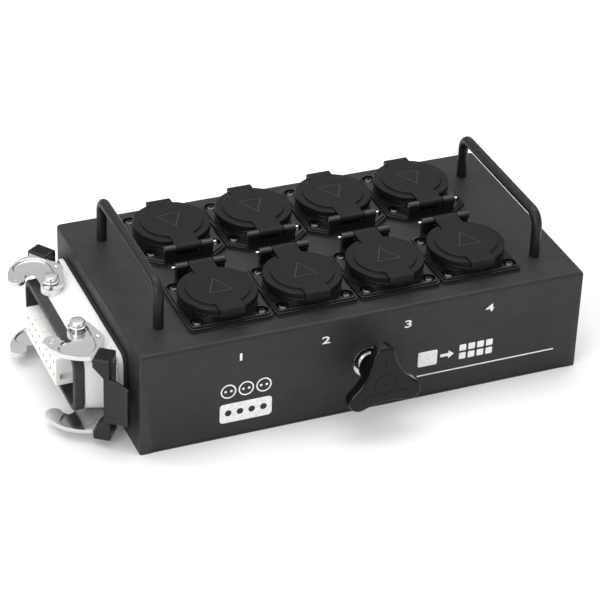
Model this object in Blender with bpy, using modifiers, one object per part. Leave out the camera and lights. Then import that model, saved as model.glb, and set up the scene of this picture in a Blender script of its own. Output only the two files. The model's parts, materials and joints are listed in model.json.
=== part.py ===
"""Portable power distribution box.

A sheet-steel box with eight flap-covered sockets on top, a bar handle across each end, a
rectangular multipole inlet with two locking levers on its left end and a clamp knob on its front.

Metres, +Z up. The origin is the middle of the box's underside, +X runs along the box to the right
and +Y to the back.
"""

import math

import bmesh
import bpy
from mathutils import Matrix, Vector

# Clearance between neighbouring pieces, the same around a pin in its hole, and round-section
# resolution.
GAP = 0.0003
HOLE_GAP = 0.00045
ROUND_STEPS = 20
SMALL_ROUND_STEPS = 12
HOLE_STEPS = 8

# Enclosure.
BOX_LENGTH = 0.269
BOX_WIDTH = 0.150
BOX_HEIGHT = 0.0645
SHEET = 0.0015
TOP_BEND_RADIUS = 0.0022
CORNER_RADIUS = 0.0012
SKIRT_RELIEF = 0.0018
SKIRT_CORNER_LENGTH = 0.0075
BASE_SHEET = 0.0012
BASE_TRAY_HEIGHT = 0.012

# Sockets: two rows of four, hinges towards the middle of the box.
SOCKETS_PER_ROW = 4
SOCKET_PITCH = 0.0507
FRONT_ROW_Y = -0.0374
BACK_ROW_Y = 0.0391
FLANGE_HALF = 0.0248
FLANGE_SHOULDER_Y = 0.0235
FLANGE_CORNER_RADIUS = 0.003
GASKET_HEIGHT = 0.0012
FLANGE_BOTTOM = 0.0015
FLANGE_TOP = 0.0034
COLLAR_RADIUS = 0.0218
COLLAR_TOP = 0.0062
WELL_RADIUS = 0.0200
WELL_FLOOR = -0.0141
SOCKET_REAR_RADIUS = 0.0213
SOCKET_REAR = -0.032
PANEL_HOLE_RADIUS = 0.0219
CONTACT_SPACING = 0.019
CONTACT_RADIUS = 0.0026
CONTACT_DEPTH = 0.012

# Flap hinge, in the socket's frame: the pin runs along X.
HINGE_Y = 0.0285
HINGE_Z = 0.0097
HINGE_BLOCK_HALF = 0.0152
HINGE_BLOCK_BACK = 0.031
HINGE_BLOCK_FRONT = 0.0262
HINGE_BLOCK_MIDDLE_TOP = 0.0066
BARREL_RADIUS = 0.0025
ARM_HALF = 0.0073
HINGE_PIN_RADIUS = 0.0010
HINGE_PIN_LEFT = -0.0170
HINGE_PIN_RIGHT = 0.0148

# Flap.
LID_RADIUS = 0.0227
LID_SKIRT_INNER_RADIUS = 0.0209
LID_DISC_RADIUS = 0.0182
LID_BOTTOM = 0.0066
LID_CEILING = 0.0082
LID_RIM_TOP = 0.0104
LID_TOP = 0.0116
LID_EDGE = 0.0006
LID_ARM_BOTTOM = 0.0086
LID_ARM_TOP = 0.0114
LID_OVERLAP = 0.003
TAB_END_Y = -0.0243
TAB_HALF = 0.0074
TAB_BOTTOM = 0.0069

# Bar handles.
HANDLE_X = 0.115
HANDLE_FOOT_Y = 0.0493
HANDLE_RISE = 0.027
HANDLE_ROD_RADIUS = 0.003
HANDLE_BEND_RADIUS = 0.0075
HANDLE_BEND_STEPS = 4
HANDLE_STUD_RADIUS = 0.002
HANDLE_STUD_END = -0.008
HANDLE_NUT_RADIUS = 0.0040
HANDLE_NUT_HEIGHT = 0.0032

# Inlet, in its own frame: X to the front of the box, Y up, Z out of the box's left end.
INLET_Y = 0.0023
INLET_Z = 0.0313
INLET_FLANGE = (0.1135, 0.043)
INLET_FLANGE_CORNER = 0.006
INLET_GASKET_TOP = 0.0020
INLET_FLANGE_BOTTOM = 0.0023
INLET_FLANGE_TOP = 0.0053
INLET_WALL = (0.093, 0.0364)
INLET_WALL_CORNER = 0.0085
INLET_CAVITY = (0.0866, 0.0300)
INLET_CAVITY_CORNER = 0.0055
INLET_WALL_TOP = 0.0215
SEAL_OUTER = (0.094, 0.0374)
SEAL_INNER = (0.0874, 0.0308)
SEAL_BOTTOM = 0.0218
SEAL_TOP = 0.0275
INSERT_PLATE = (0.0860, 0.0294)
INSERT_PLATE_BOTTOM = 0.0060
INSERT_PLATE_TOP = 0.0120
INSERT_REAR = (0.074, 0.026)
INSERT_REAR_END = -0.018
INSERT_ISLAND = (0.058, 0.018)
INSERT_TOP = 0.0327
INSERT_CONTACTS_PER_ROW = 8
INSERT_CONTACT_PITCH = 0.0068
INSERT_ROW_SPACING = 0.0082
INSERT_CONTACT_RADIUS = 0.0017
INSERT_CONTACT_DEPTH = 0.010
INSERT_SLOT = (0.003, 0.004)
INSERT_SLOT_Y = -0.003
INLET_PANEL_OPENING = (0.077, 0.029)
INLET_PANEL_OPENING_CORNER = 0.001
INLET_SCREW_SPACING = (0.103, 0.032)
INLET_SCREW_RADIUS = 0.0019
INLET_SCREW_HOLE_RADIUS = 0.0025
INLET_SCREW_HEAD_RADIUS = 0.0036
INLET_SCREW_SINK = 0.0006
INLET_SCREW_END = -0.006

# Locking levers, in a frame on the pivots' line: X along the box, Y away from the inlet's middle.
PIVOT_OUT = 0.0184
PIVOT_HALF_SPACING = 0.02475
LEVER_PLATE_INNER = 0.0229
LEVER_PLATE_OUTER = 0.0254
LEVER_PIVOT_DISC_CENTRE = (0.0009, 0.0006)
LEVER_PIVOT_DISC_RADIUS = 0.0067
LEVER_PIVOT_HOLE_RADIUS = 0.0034
LEVER_HOOK_CENTRE = (-0.0174, 0.0092)
LEVER_HOOK_RADIUS = 0.0049
LEVER_NOTCH_CENTRE = (-0.0093, 0.0086)
LEVER_NOTCH_RADIUS = 0.0035
LEVER_BACK_CENTRE = (0.0015, 0.0080)
LEVER_BACK_RADIUS = 0.0236
LEVER_RIGHT_EDGE = 0.0106
PIVOT_SHANK_RADIUS = 0.0030
PIVOT_SHANK_END = 0.0191
PIVOT_WASHER_RADIUS = 0.0048
PIVOT_WASHER_TOP = 0.0267
PIVOT_HEAD_RADIUS = 0.0043
PIVOT_HEAD_TOP = 0.0297
BOSS_RADIUS = 0.0058
BOSS_BASE = 0.0170
BOSS_FACE = 0.0226
BOSS_HOLE_END = 0.0188

# Lever grip: a block on the plates' slanted ends with a finger lip beyond it.
GRIP_CORNER = Vector((0.0044, 0.0247))
GRIP_DIRECTION = Vector((-0.58, 0.815)).normalized()
GRIP_LENGTH = 0.0131
GRIP_DEPTH = 0.0099
GRIP_HALF_HEIGHT = 0.0263
GRIP_WAIST_DEPTH = 0.0062
GRIP_WAIST_HALF_HEIGHT = 0.0147
GRIP_WAIST_MOUTH_HALF_HEIGHT = 0.0212
GRIP_TONGUE_HALF = 0.0045
GRIP_TONGUE_LENGTH = 0.0055
LIP_DIRECTION = Vector((0.60, 0.80))
LIP_LENGTH = 0.0120
LIP_THICKNESS = 0.0035
LIP_ROOT = 0.0025
LIP_ROOT_HALF_HEIGHT = 0.0154
LIP_TIP_HALF_HEIGHT = 0.0121

# Clamp knob, in its own frame: X to the right, Y up, Z out of the box's front.
CLAMP_X = 0.0005
CLAMP_Z = 0.0334
STUD_RADIUS = 0.0039
STUD_HOLE_RADIUS = 0.0044
STUD_END = 0.0200
STUD_HEAD_RADIUS = 0.0075
STUD_HEAD_HEIGHT = 0.0053
WASHER_RADIUS = 0.0097
WASHER_TOP = 0.0023
WASHER_RING_RADIUS = 0.0063
WASHER_RING_TOP = 0.0038
KNOB_BACK = 0.0065
KNOB_HUB_RADIUS = 0.0084
KNOB_LOBE_BACK = 0.0183
KNOB_FRONT = 0.0255
KNOB_FIRST_LOBE_ANGLE = math.radians(93)
KNOB_LOBES = 3
KNOB_LOBE_CENTRE = 0.0176
KNOB_LOBE_RADIUS = 0.0065
KNOB_WAIST_RADIUS = 0.0126
KNOB_EDGE = 0.0010
STUD_ROOM_END = 0.0222
INSERT_NUT_RADIUS = 0.0060
INSERT_NUT_BACK = 0.0070
INSERT_NUT_FRONT = 0.0200

# Inner pieces.
EARTH_STUD_AT = (-0.106, 0.047)
EARTH_STUD_RADIUS = 0.003
EARTH_STUD_TOP = 0.020
EARTH_NUT_RADIUS = 0.0058
EARTH_NUTS = ((0.0015, 0.0065), (0.0100, 0.0140))
LOOM_Y = 0.001
LOOM_Z = 0.024
LOOM_RADIUS = 0.0045
LOOM_BRANCH_RADIUS = 0.0020
LOOM_END_GAP = 0.0006
LOOM_SWEEP = 0.005
LOOM_FOOT = 0.007

# Name: (base colour, roughness, metallic).
FINISHES = {
    "powder_coat": ((0.045, 0.046, 0.048, 1.0), 0.55, 0.0),
    "rod_coat": ((0.020, 0.020, 0.022, 1.0), 0.35, 0.0),
    "socket_plastic": ((0.030, 0.031, 0.033, 1.0), 0.38, 0.0),
    "lid_plastic": ((0.075, 0.077, 0.080, 1.0), 0.60, 0.0),
    "gasket_rubber": ((0.015, 0.015, 0.015, 1.0), 0.80, 0.0),
    "seal_rubber": ((0.050, 0.050, 0.052, 1.0), 0.70, 0.0),
    "bright_steel": ((0.620, 0.620, 0.610, 1.0), 0.25, 1.0),
    "lever_steel": ((0.680, 0.670, 0.640, 1.0), 0.40, 1.0),
    "die_cast": ((0.780, 0.790, 0.820, 1.0), 0.45, 0.0),
    "insert_plastic": ((0.760, 0.750, 0.710, 1.0), 0.50, 0.0),
    "grip_plastic": ((0.055, 0.056, 0.058, 1.0), 0.50, 0.0),
    "knob_plastic": ((0.040, 0.041, 0.043, 1.0), 0.40, 0.0),
    "brass": ((0.720, 0.550, 0.260, 1.0), 0.35, 1.0),
    "wire_jacket": ((0.080, 0.080, 0.085, 1.0), 0.60, 0.0),
}

# Turns that lay a solid made along Z down along X (its x, y become y, z) or along Y (z, x).
Z_TO_X = Matrix(((0, 0, 1, 0), (1, 0, 0, 0), (0, 1, 0, 0), (0, 0, 0, 1)))
Z_TO_Y = Matrix(((0, 1, 0, 0), (0, 0, 1, 0), (1, 0, 0, 0), (0, 0, 0, 1)))

SMOOTH_ANGLE = math.radians(35)
WELD_DISTANCE = 1e-6
OVERLAP = 0.001


# Scene set-up.


def clear_scene():
    for obj in list(bpy.data.objects):
        bpy.data.objects.remove(obj, do_unlink=True)


def make_material(name, colour, roughness, metallic):
    material = bpy.data.materials.new(name)
    material.use_nodes = True
    shader = material.node_tree.nodes["Principled BSDF"]
    shader.inputs["Base Color"].default_value = colour
    shader.inputs["Roughness"].default_value = roughness
    shader.inputs["Metallic"].default_value = metallic
    material.diffuse_color = colour
    return material


clear_scene()
PARTS = bpy.data.collections.new("power_distribution_box")
bpy.context.scene.collection.children.link(PARTS)
MATERIALS = {name: make_material(name, *finish) for name, finish in FINISHES.items()}


# Solid-making helpers. Each returns an object in the frame that its numbers are given in.


def object_of(mesh, name="piece"):
    obj = bpy.data.objects.new(name, mesh)
    PARTS.objects.link(obj)
    return obj


def cleaned(mesh):
    """Welds loose caps and turns every face outwards."""
    work = bmesh.new()
    work.from_mesh(mesh)
    bmesh.ops.remove_doubles(work, verts=work.verts, dist=WELD_DISTANCE)
    bmesh.ops.recalc_face_normals(work, faces=work.faces)
    work.to_mesh(mesh)
    work.free()
    return mesh


def settle(obj):
    """Replaces an object's modifiers by the mesh that they make."""
    graph = bpy.context.evaluated_depsgraph_get()
    mesh = bpy.data.meshes.new_from_object(obj.evaluated_get(graph))
    if obj.type == "MESH":
        obj.modifiers.clear()
        obj.data = cleaned(mesh)
        return obj
    solid = object_of(cleaned(mesh))
    bpy.data.objects.remove(obj, do_unlink=True)
    return solid


def boolean(target, operation, tools):
    for tool in tools:
        modifier = target.modifiers.new(operation.lower(), "BOOLEAN")
        modifier.operation = operation
        modifier.solver = "EXACT"
        modifier.object = tool
        settle(target)
        bpy.data.objects.remove(tool, do_unlink=True)
    return target


def cut(target, *tools):
    return boolean(target, "DIFFERENCE", tools)


def join(target, *tools):
    return boolean(target, "UNION", tools)


def moved(obj, matrix):
    obj.data.transform(matrix)
    return obj


def box(low, high):
    low = Vector(low)
    high = Vector(high)
    size = high - low
    work = bmesh.new()
    place = Matrix.Translation((low + high) / 2) @ Matrix.Diagonal((*size, 1))
    bmesh.ops.create_cube(work, size=1, matrix=place)
    mesh = bpy.data.meshes.new("box")
    work.to_mesh(mesh)
    work.free()
    return object_of(mesh)


def centred_box(size, low, high, centre=(0, 0)):
    """A box of size (x, y) about a centre, from z low to z high."""
    half_x = size[0] / 2
    half_y = size[1] / 2
    return box(
        (centre[0] - half_x, centre[1] - half_y, low),
        (centre[0] + half_x, centre[1] + half_y, high),
    )


def cylinder(radius, low, high, centre=(0, 0), steps=SMALL_ROUND_STEPS, axis="Z"):
    """A cylinder from low to high along an axis. centre is its place across the axis."""
    work = bmesh.new()
    place = Matrix.Translation((centre[0], centre[1], (low + high) / 2))
    bmesh.ops.create_cone(
        work, cap_ends=True, segments=steps, radius1=radius, radius2=radius, depth=high - low, matrix=place
    )
    mesh = bpy.data.meshes.new("cylinder")
    work.to_mesh(mesh)
    work.free()
    if axis == "X":
        mesh.transform(Z_TO_X)
    if axis == "Y":
        mesh.transform(Z_TO_Y)
    return object_of(mesh)


def turned(profile, steps=ROUND_STEPS, closed=False):
    """A solid turned about Z from (radius, z) points that run down its outer side."""
    edges = [(i, i + 1) for i in range(len(profile) - 1)]
    if closed:
        edges.append((len(profile) - 1, 0))
    mesh = bpy.data.meshes.new("profile")
    mesh.from_pydata([(radius, 0, z) for radius, z in profile], edges, [])
    obj = object_of(mesh)
    screw = obj.modifiers.new("turn", "SCREW")
    screw.steps = steps
    screw.render_steps = steps
    screw.use_merge_vertices = True
    screw.merge_threshold = WELD_DISTANCE
    return settle(obj)


def prism(outline, low, high):
    """A flat outline of (x, y) points, extruded from z low to z high."""
    curve = bpy.data.curves.new("outline", "CURVE")
    curve.dimensions = "2D"
    curve.fill_mode = "BOTH"
    curve.extrude = (high - low) / 2
    spline = curve.splines.new("POLY")
    spline.points.add(len(outline) - 1)
    for point, (x, y) in zip(spline.points, outline):
        point.co = (x, y, 0, 1)
    spline.use_cyclic_u = True
    solid = settle(object_of(curve))
    return moved(solid, Matrix.Translation((0, 0, (low + high) / 2)))


def side_prism(outline, low, high):
    """A flat outline of (y, z) points, extruded from x low to x high."""
    return moved(prism(outline, low, high), Z_TO_X)


def tube(points, radius, resolution):
    """A rod along a path of points, with filled ends."""
    curve = bpy.data.curves.new("rod", "CURVE")
    curve.dimensions = "3D"
    curve.bevel_depth = radius
    curve.bevel_resolution = resolution
    curve.use_fill_caps = True
    spline = curve.splines.new("POLY")
    spline.points.add(len(points) - 1)
    for point, place in zip(spline.points, points):
        point.co = (*place, 1)
    return settle(object_of(curve))


def bevelled(obj, width, segments, wanted):
    """Rounds the edges that wanted(edge) picks out."""
    work = bmesh.new()
    work.from_mesh(obj.data)
    picked = [edge for edge in work.edges if wanted(edge)]
    bmesh.ops.bevel(
        work, geom=picked, offset=width, segments=segments, affect="EDGES", profile=0.5, clamp_overlap=True
    )
    work.to_mesh(obj.data)
    work.free()
    return obj


# Outlines.


def arc(centre, radius, start, end, steps):
    """Points along an arc, both ends included. Angles are in degrees."""
    points = []
    for i in range(steps + 1):
        angle = math.radians(start + (end - start) * i / steps)
        points.append((centre[0] + radius * math.cos(angle), centre[1] + radius * math.sin(angle)))
    return points


def rounded_rectangle(size, radius, steps=3):
    half_x = size[0] / 2 - radius
    half_y = size[1] / 2 - radius
    corners = ((half_x, half_y, 0), (-half_x, half_y, 90), (-half_x, -half_y, 180), (half_x, -half_y, 270))
    points = []
    for x, y, start in corners:
        points += arc((x, y), radius, start, start + 90, steps)
    return points


def flange_outline():
    """The socket flange: square, with slanted shoulders that lead to the hinge block."""
    corner = FLANGE_HALF - FLANGE_CORNER_RADIUS
    points = arc((-corner, -corner), FLANGE_CORNER_RADIUS, 180, 270, 2)
    points += arc((corner, -corner), FLANGE_CORNER_RADIUS, 270, 360, 2)
    points += [(FLANGE_HALF, FLANGE_SHOULDER_Y), (HINGE_BLOCK_HALF, HINGE_BLOCK_BACK)]
    points += [(-HINGE_BLOCK_HALF, HINGE_BLOCK_BACK), (-FLANGE_HALF, FLANGE_SHOULDER_Y)]
    return points


def knob_outline():
    """Round lobes joined by hollow flanks that are tangent to them."""
    half_angle = math.pi / KNOB_LOBES
    # The flank circle touches the waist circle and both lobe circles.
    lobe = KNOB_LOBE_CENTRE
    waist = KNOB_WAIST_RADIUS
    radius = KNOB_LOBE_RADIUS
    across = 2 * lobe * math.cos(half_angle)
    flank = (lobe**2 + waist**2 - across * waist - radius**2) / (2 * radius - 2 * waist + across)
    reach = waist + flank
    flank_centre = Vector((reach * math.cos(half_angle), reach * math.sin(half_angle)))
    to_flank = flank_centre - Vector((lobe, 0))
    tangent = math.degrees(math.atan2(to_flank.y, to_flank.x))
    flank_start = 180 + tangent
    flank_end = 180 + 2 * math.degrees(half_angle) - tangent
    sector = arc((lobe, 0), radius, -tangent, tangent, 6)
    sector += arc(flank_centre, flank, flank_start, flank_end, 4)[1:-1]
    points = []
    for i in range(KNOB_LOBES):
        angle = KNOB_FIRST_LOBE_ANGLE + 2 * half_angle * i
        turn = Matrix.Rotation(angle, 2)
        points += [tuple(turn @ Vector(point)) for point in sector]
    return points


def lever_outline():
    """A hook plate: pivot disc, peg notch, hook end, round back and a tongue for the grip."""
    along = GRIP_DIRECTION
    out = Vector((along.y, -along.x))
    seat = GRIP_CORNER - out * GAP
    middle = seat + along * GRIP_LENGTH / 2
    tongue_end = out * (GRIP_TONGUE_LENGTH + GAP)
    low_side = middle - along * GRIP_TONGUE_HALF
    high_side = middle + along * GRIP_TONGUE_HALF
    points = arc(LEVER_BACK_CENTRE, LEVER_BACK_RADIUS, 172, 100, 6)
    points += [tuple(seat + along * GRIP_LENGTH * 0.9)]
    points += [tuple(high_side), tuple(high_side + tongue_end), tuple(low_side + tongue_end), tuple(low_side)]
    points += [tuple(seat - along * 0.0045), (LEVER_RIGHT_EDGE, 0.0165), (LEVER_RIGHT_EDGE, 0.0105)]
    points += arc(LEVER_PIVOT_DISC_CENTRE, LEVER_PIVOT_DISC_RADIUS, -12, -180, 10)
    points += arc(LEVER_NOTCH_CENTRE, LEVER_NOTCH_RADIUS, 0, 180, 8)
    points += arc(LEVER_HOOK_CENTRE, LEVER_HOOK_RADIUS, -8, -188, 8)
    return points


# Frames that pieces are placed in.


def frame(name, matrix):
    empty = bpy.data.objects.new(name, None)
    PARTS.objects.link(empty)
    empty.matrix_world = matrix
    return empty


def placed(obj, name, finish, parent=None, offset=(0, 0, 0), smooth=True):
    """Names a finished solid, gives it its material and hangs it in its frame."""
    obj.name = name
    obj.data.name = name
    obj.data.materials.clear()
    obj.data.materials.append(MATERIALS[finish])
    if smooth:
        obj.data.shade_smooth()
        obj.data.set_sharp_from_angle(angle=SMOOTH_ANGLE)
    obj.parent = parent
    obj.location = offset
    return obj


def copy_of(obj, name, parent, offset=(0, 0, 0)):
    """Another object that shares a finished piece's mesh."""
    twin = object_of(obj.data, name)
    twin.parent = parent
    twin.location = offset
    return twin


def socket_places():
    """(number, x, y, turned round) for each socket, front row first."""
    places = []
    for row, (y, half_turn) in enumerate(((FRONT_ROW_Y, False), (BACK_ROW_Y, True))):
        for column in range(SOCKETS_PER_ROW):
            x = (column - (SOCKETS_PER_ROW - 1) / 2) * SOCKET_PITCH
            places.append((row * SOCKETS_PER_ROW + column + 1, x, y, half_turn))
    return places


INLET_TURN = Matrix(((0, 0, -1, 0), (-1, 0, 0, 0), (0, 1, 0, 0), (0, 0, 0, 1)))
CLAMP_TURN = Matrix.Rotation(math.pi / 2, 4, "X")
INLET_PLACE = Matrix.Translation((-BOX_LENGTH / 2, INLET_Y, INLET_Z)) @ INLET_TURN
CLAMP_PLACE = Matrix.Translation((CLAMP_X, -BOX_WIDTH / 2, CLAMP_Z)) @ CLAMP_TURN


# Enclosure.


def cover_blank():
    half_x = BOX_LENGTH / 2
    half_y = BOX_WIDTH / 2
    blank = box((-half_x, -half_y, 0), (half_x, half_y, BOX_HEIGHT))
    bevelled(blank, CORNER_RADIUS, 2, lambda edge: edge.calc_length() < BOX_HEIGHT + WELD_DISTANCE)
    bevelled(
        blank,
        TOP_BEND_RADIUS,
        3,
        lambda edge: all(vert.co.z > BOX_HEIGHT - WELD_DISTANCE for vert in edge.verts),
    )
    return blank


def make_cover():
    cover = cover_blank()
    half_x = BOX_LENGTH / 2
    half_y = BOX_WIDTH / 2
    room = Vector((half_x - SHEET, half_y - SHEET, BOX_HEIGHT - SHEET))
    cut(cover, box((-room.x, -room.y, -OVERLAP), room))
    relief = half_x - SKIRT_CORNER_LENGTH
    cut(cover, box((-relief, -BOX_WIDTH, -OVERLAP), (relief, BOX_WIDTH, SKIRT_RELIEF)))
    top_low = BOX_HEIGHT - SHEET - OVERLAP
    top_high = BOX_HEIGHT + OVERLAP
    for _, x, y, _ in socket_places():
        cut(cover, cylinder(PANEL_HOLE_RADIUS, top_low, top_high, (x, y), ROUND_STEPS))
    for x in (-HANDLE_X, HANDLE_X):
        for y in (-HANDLE_FOOT_Y, HANDLE_FOOT_Y):
            cut(cover, cylinder(HANDLE_STUD_RADIUS + HOLE_GAP, top_low, top_high, (x, y), HOLE_STEPS))
    through = (-SHEET - OVERLAP, OVERLAP)
    inlet_cuts = [prism(rounded_rectangle(INLET_PANEL_OPENING, INLET_PANEL_OPENING_CORNER, 1), *through)]
    for spot in inlet_screw_spots():
        inlet_cuts.append(cylinder(INLET_SCREW_HOLE_RADIUS, *through, spot, HOLE_STEPS))
    for tool in inlet_cuts:
        cut(cover, moved(tool, INLET_PLACE))
    cut(cover, moved(cylinder(STUD_HOLE_RADIUS, *through), CLAMP_PLACE))
    return placed(cover, "enclosure_cover", "powder_coat")


def make_base_plate():
    """A tray inside the skirts, whose bottom reaches out under the front and back skirts."""
    inner_x = BOX_LENGTH / 2 - SHEET - GAP
    inner_y = BOX_WIDTH / 2 - SHEET - GAP
    tongue_x = BOX_LENGTH / 2 - SKIRT_CORNER_LENGTH - GAP
    tongue_y = BOX_WIDTH / 2 - GAP
    tray = box((-inner_x, -inner_y, 0), (inner_x, inner_y, BASE_TRAY_HEIGHT))
    room_x = inner_x - BASE_SHEET
    room_y = inner_y - BASE_SHEET
    cut(tray, box((-room_x, -room_y, BASE_SHEET), (room_x, room_y, BASE_TRAY_HEIGHT + OVERLAP)))
    join(tray, box((-tongue_x, -tongue_y, 0), (tongue_x, tongue_y, BASE_SHEET)))
    return placed(tray, "base_plate", "powder_coat", smooth=False)


def handle_path():
    """The rod's centre line, up from the front foot and over to the back one."""
    low = BOX_HEIGHT + GAP
    top = BOX_HEIGHT + HANDLE_RISE
    bend = HANDLE_BEND_RADIUS
    shoulder = HANDLE_FOOT_Y - bend
    points = [(-HANDLE_FOOT_Y, low)]
    points += arc((-shoulder, top - bend), bend, 180, 90, HANDLE_BEND_STEPS)
    points += arc((shoulder, top - bend), bend, 90, 0, HANDLE_BEND_STEPS)
    points += [(HANDLE_FOOT_Y, low)]
    return [(0, y, z) for y, z in points]


def make_handles():
    """Each rod has a threaded end through the panel with a nut under it."""
    rod = tube(handle_path(), HANDLE_ROD_RADIUS, 3)
    nut_top = BOX_HEIGHT - SHEET - GAP
    for y in (-HANDLE_FOOT_Y, HANDLE_FOOT_Y):
        stud_low = BOX_HEIGHT + HANDLE_STUD_END
        join(rod, cylinder(HANDLE_STUD_RADIUS, stud_low, BOX_HEIGHT + 2 * OVERLAP, (0, y), HOLE_STEPS))
        join(rod, cylinder(HANDLE_NUT_RADIUS, nut_top - HANDLE_NUT_HEIGHT, nut_top, (0, y), 6))
    left = placed(rod, "handle_left", "rod_coat", offset=(-HANDLE_X, 0, 0))
    right = copy_of(left, "handle_right", None, (HANDLE_X, 0, 0))
    return left, right


# Sockets and flaps.


def socket_solid():
    cup = turned(
        [
            (0, COLLAR_TOP),
            (COLLAR_RADIUS, COLLAR_TOP),
            (COLLAR_RADIUS, FLANGE_BOTTOM + GAP),
            (SOCKET_REAR_RADIUS, FLANGE_BOTTOM),
            (SOCKET_REAR_RADIUS, SOCKET_REAR),
            (0, SOCKET_REAR),
        ]
    )
    join(cup, prism(flange_outline(), FLANGE_BOTTOM, FLANGE_TOP))
    block_top = HINGE_Z
    middle_half = ARM_HALF + GAP
    join(
        cup,
        box(
            (-HINGE_BLOCK_HALF, HINGE_BLOCK_FRONT, FLANGE_BOTTOM + GAP),
            (HINGE_BLOCK_HALF, HINGE_BLOCK_BACK, block_top),
        ),
    )
    cut(
        cup,
        box(
            (-middle_half, HINGE_BLOCK_FRONT - OVERLAP, HINGE_BLOCK_MIDDLE_TOP),
            (middle_half, HINGE_BLOCK_BACK + OVERLAP, HINGE_Z + OVERLAP),
        ),
    )
    for side in (-1, 1):
        low, high = sorted((side * middle_half, side * (HINGE_BLOCK_HALF - GAP)))
        join(cup, cylinder(BARREL_RADIUS, low, high, (HINGE_Y, HINGE_Z), SMALL_ROUND_STEPS, "X"))
    cut(cup, cylinder(WELL_RADIUS, WELL_FLOOR, COLLAR_TOP + OVERLAP, steps=ROUND_STEPS))
    pin_room = HINGE_PIN_RADIUS + HOLE_GAP
    cut(cup, cylinder(pin_room, -FLANGE_HALF, FLANGE_HALF, (HINGE_Y, HINGE_Z), HOLE_STEPS, "X"))
    for x in (-CONTACT_SPACING / 2, CONTACT_SPACING / 2):
        low = WELL_FLOOR - CONTACT_DEPTH
        cut(cup, cylinder(CONTACT_RADIUS, low, WELL_FLOOR + OVERLAP, (x, 0), HOLE_STEPS))
    return cup


def socket_gasket_solid():
    gasket = prism(flange_outline(), GAP, GASKET_HEIGHT)
    hole = SOCKET_REAR_RADIUS + GAP
    return cut(gasket, cylinder(hole, 0, GASKET_HEIGHT + OVERLAP, steps=ROUND_STEPS))


def lid_arm_outline():
    """The hinge arm from inside the flap to its barrel, seen along the pin."""
    root = LID_DISC_RADIUS - LID_OVERLAP
    low = math.degrees(math.asin((LID_ARM_BOTTOM - HINGE_Z) / BARREL_RADIUS))
    high = math.degrees(math.asin((LID_ARM_TOP - HINGE_Z) / BARREL_RADIUS))
    points = [(root, LID_ARM_TOP), (root, LID_ARM_BOTTOM)]
    return points + arc((HINGE_Y, HINGE_Z), BARREL_RADIUS, 180 - low, 540 - high, SMALL_ROUND_STEPS - 2)


def lid_tab_outline():
    """The finger tab, which hangs down in front of the flap's skirt."""
    root = LID_OVERLAP - LID_DISC_RADIUS
    back = -LID_SKIRT_INNER_RADIUS - GAP
    inside = (LID_CEILING + LID_RIM_TOP) / 2
    points = [(root, LID_ARM_TOP), (TAB_END_Y, LID_ARM_TOP), (TAB_END_Y, TAB_BOTTOM)]
    return points + [(back, TAB_BOTTOM), (back, inside), (root, inside)]


def lid_solid():
    """A flap in the socket's frame: a round cap, its hinge arm and barrel, and its finger tab."""
    lid = turned(
        [
            (0, LID_TOP),
            (LID_DISC_RADIUS, LID_TOP),
            (LID_DISC_RADIUS, LID_RIM_TOP),
            (LID_RADIUS - LID_EDGE, LID_RIM_TOP),
            (LID_RADIUS, LID_RIM_TOP - LID_EDGE),
            (LID_RADIUS, LID_BOTTOM),
            (LID_SKIRT_INNER_RADIUS, LID_BOTTOM),
            (LID_SKIRT_INNER_RADIUS, LID_CEILING),
            (0, LID_CEILING),
        ]
    )
    join(lid, side_prism(lid_arm_outline(), -ARM_HALF, ARM_HALF))
    join(lid, side_prism(lid_tab_outline(), -TAB_HALF, TAB_HALF))
    room = HINGE_PIN_RADIUS + HOLE_GAP
    return cut(lid, cylinder(room, -FLANGE_HALF, FLANGE_HALF, (HINGE_Y, HINGE_Z), HOLE_STEPS, "X"))


def make_sockets():
    hinge = (0, HINGE_Y, HINGE_Z)
    solids = {
        "socket": (socket_solid(), "socket_plastic", (0, 0, 0)),
        "socket_gasket": (socket_gasket_solid(), "gasket_rubber", (0, 0, 0)),
        "socket_lid": (moved(lid_solid(), Matrix.Translation(-Vector(hinge))), "lid_plastic", hinge),
        "lid_pin": (
            cylinder(HINGE_PIN_RADIUS, HINGE_PIN_LEFT, HINGE_PIN_RIGHT, steps=HOLE_STEPS, axis="X"),
            "bright_steel",
            hinge,
        ),
    }
    firsts = {}
    for number, x, y, half_turn in socket_places():
        turn = Matrix.Rotation(math.pi if half_turn else 0, 4, "Z")
        home = frame(f"socket_{number}_frame", Matrix.Translation((x, y, BOX_HEIGHT)) @ turn)
        for kind, (solid, finish, offset) in solids.items():
            name = f"{kind}_{number}"
            if kind in firsts:
                copy_of(firsts[kind], name, home, offset)
            else:
                firsts[kind] = placed(solid, name, finish, home, offset)


# Inlet.


def inlet_screw_spots():
    half_x = INLET_SCREW_SPACING[0] / 2
    half_y = INLET_SCREW_SPACING[1] / 2
    return [(x, y) for x in (-half_x, half_x) for y in (-half_y, half_y)]


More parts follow.
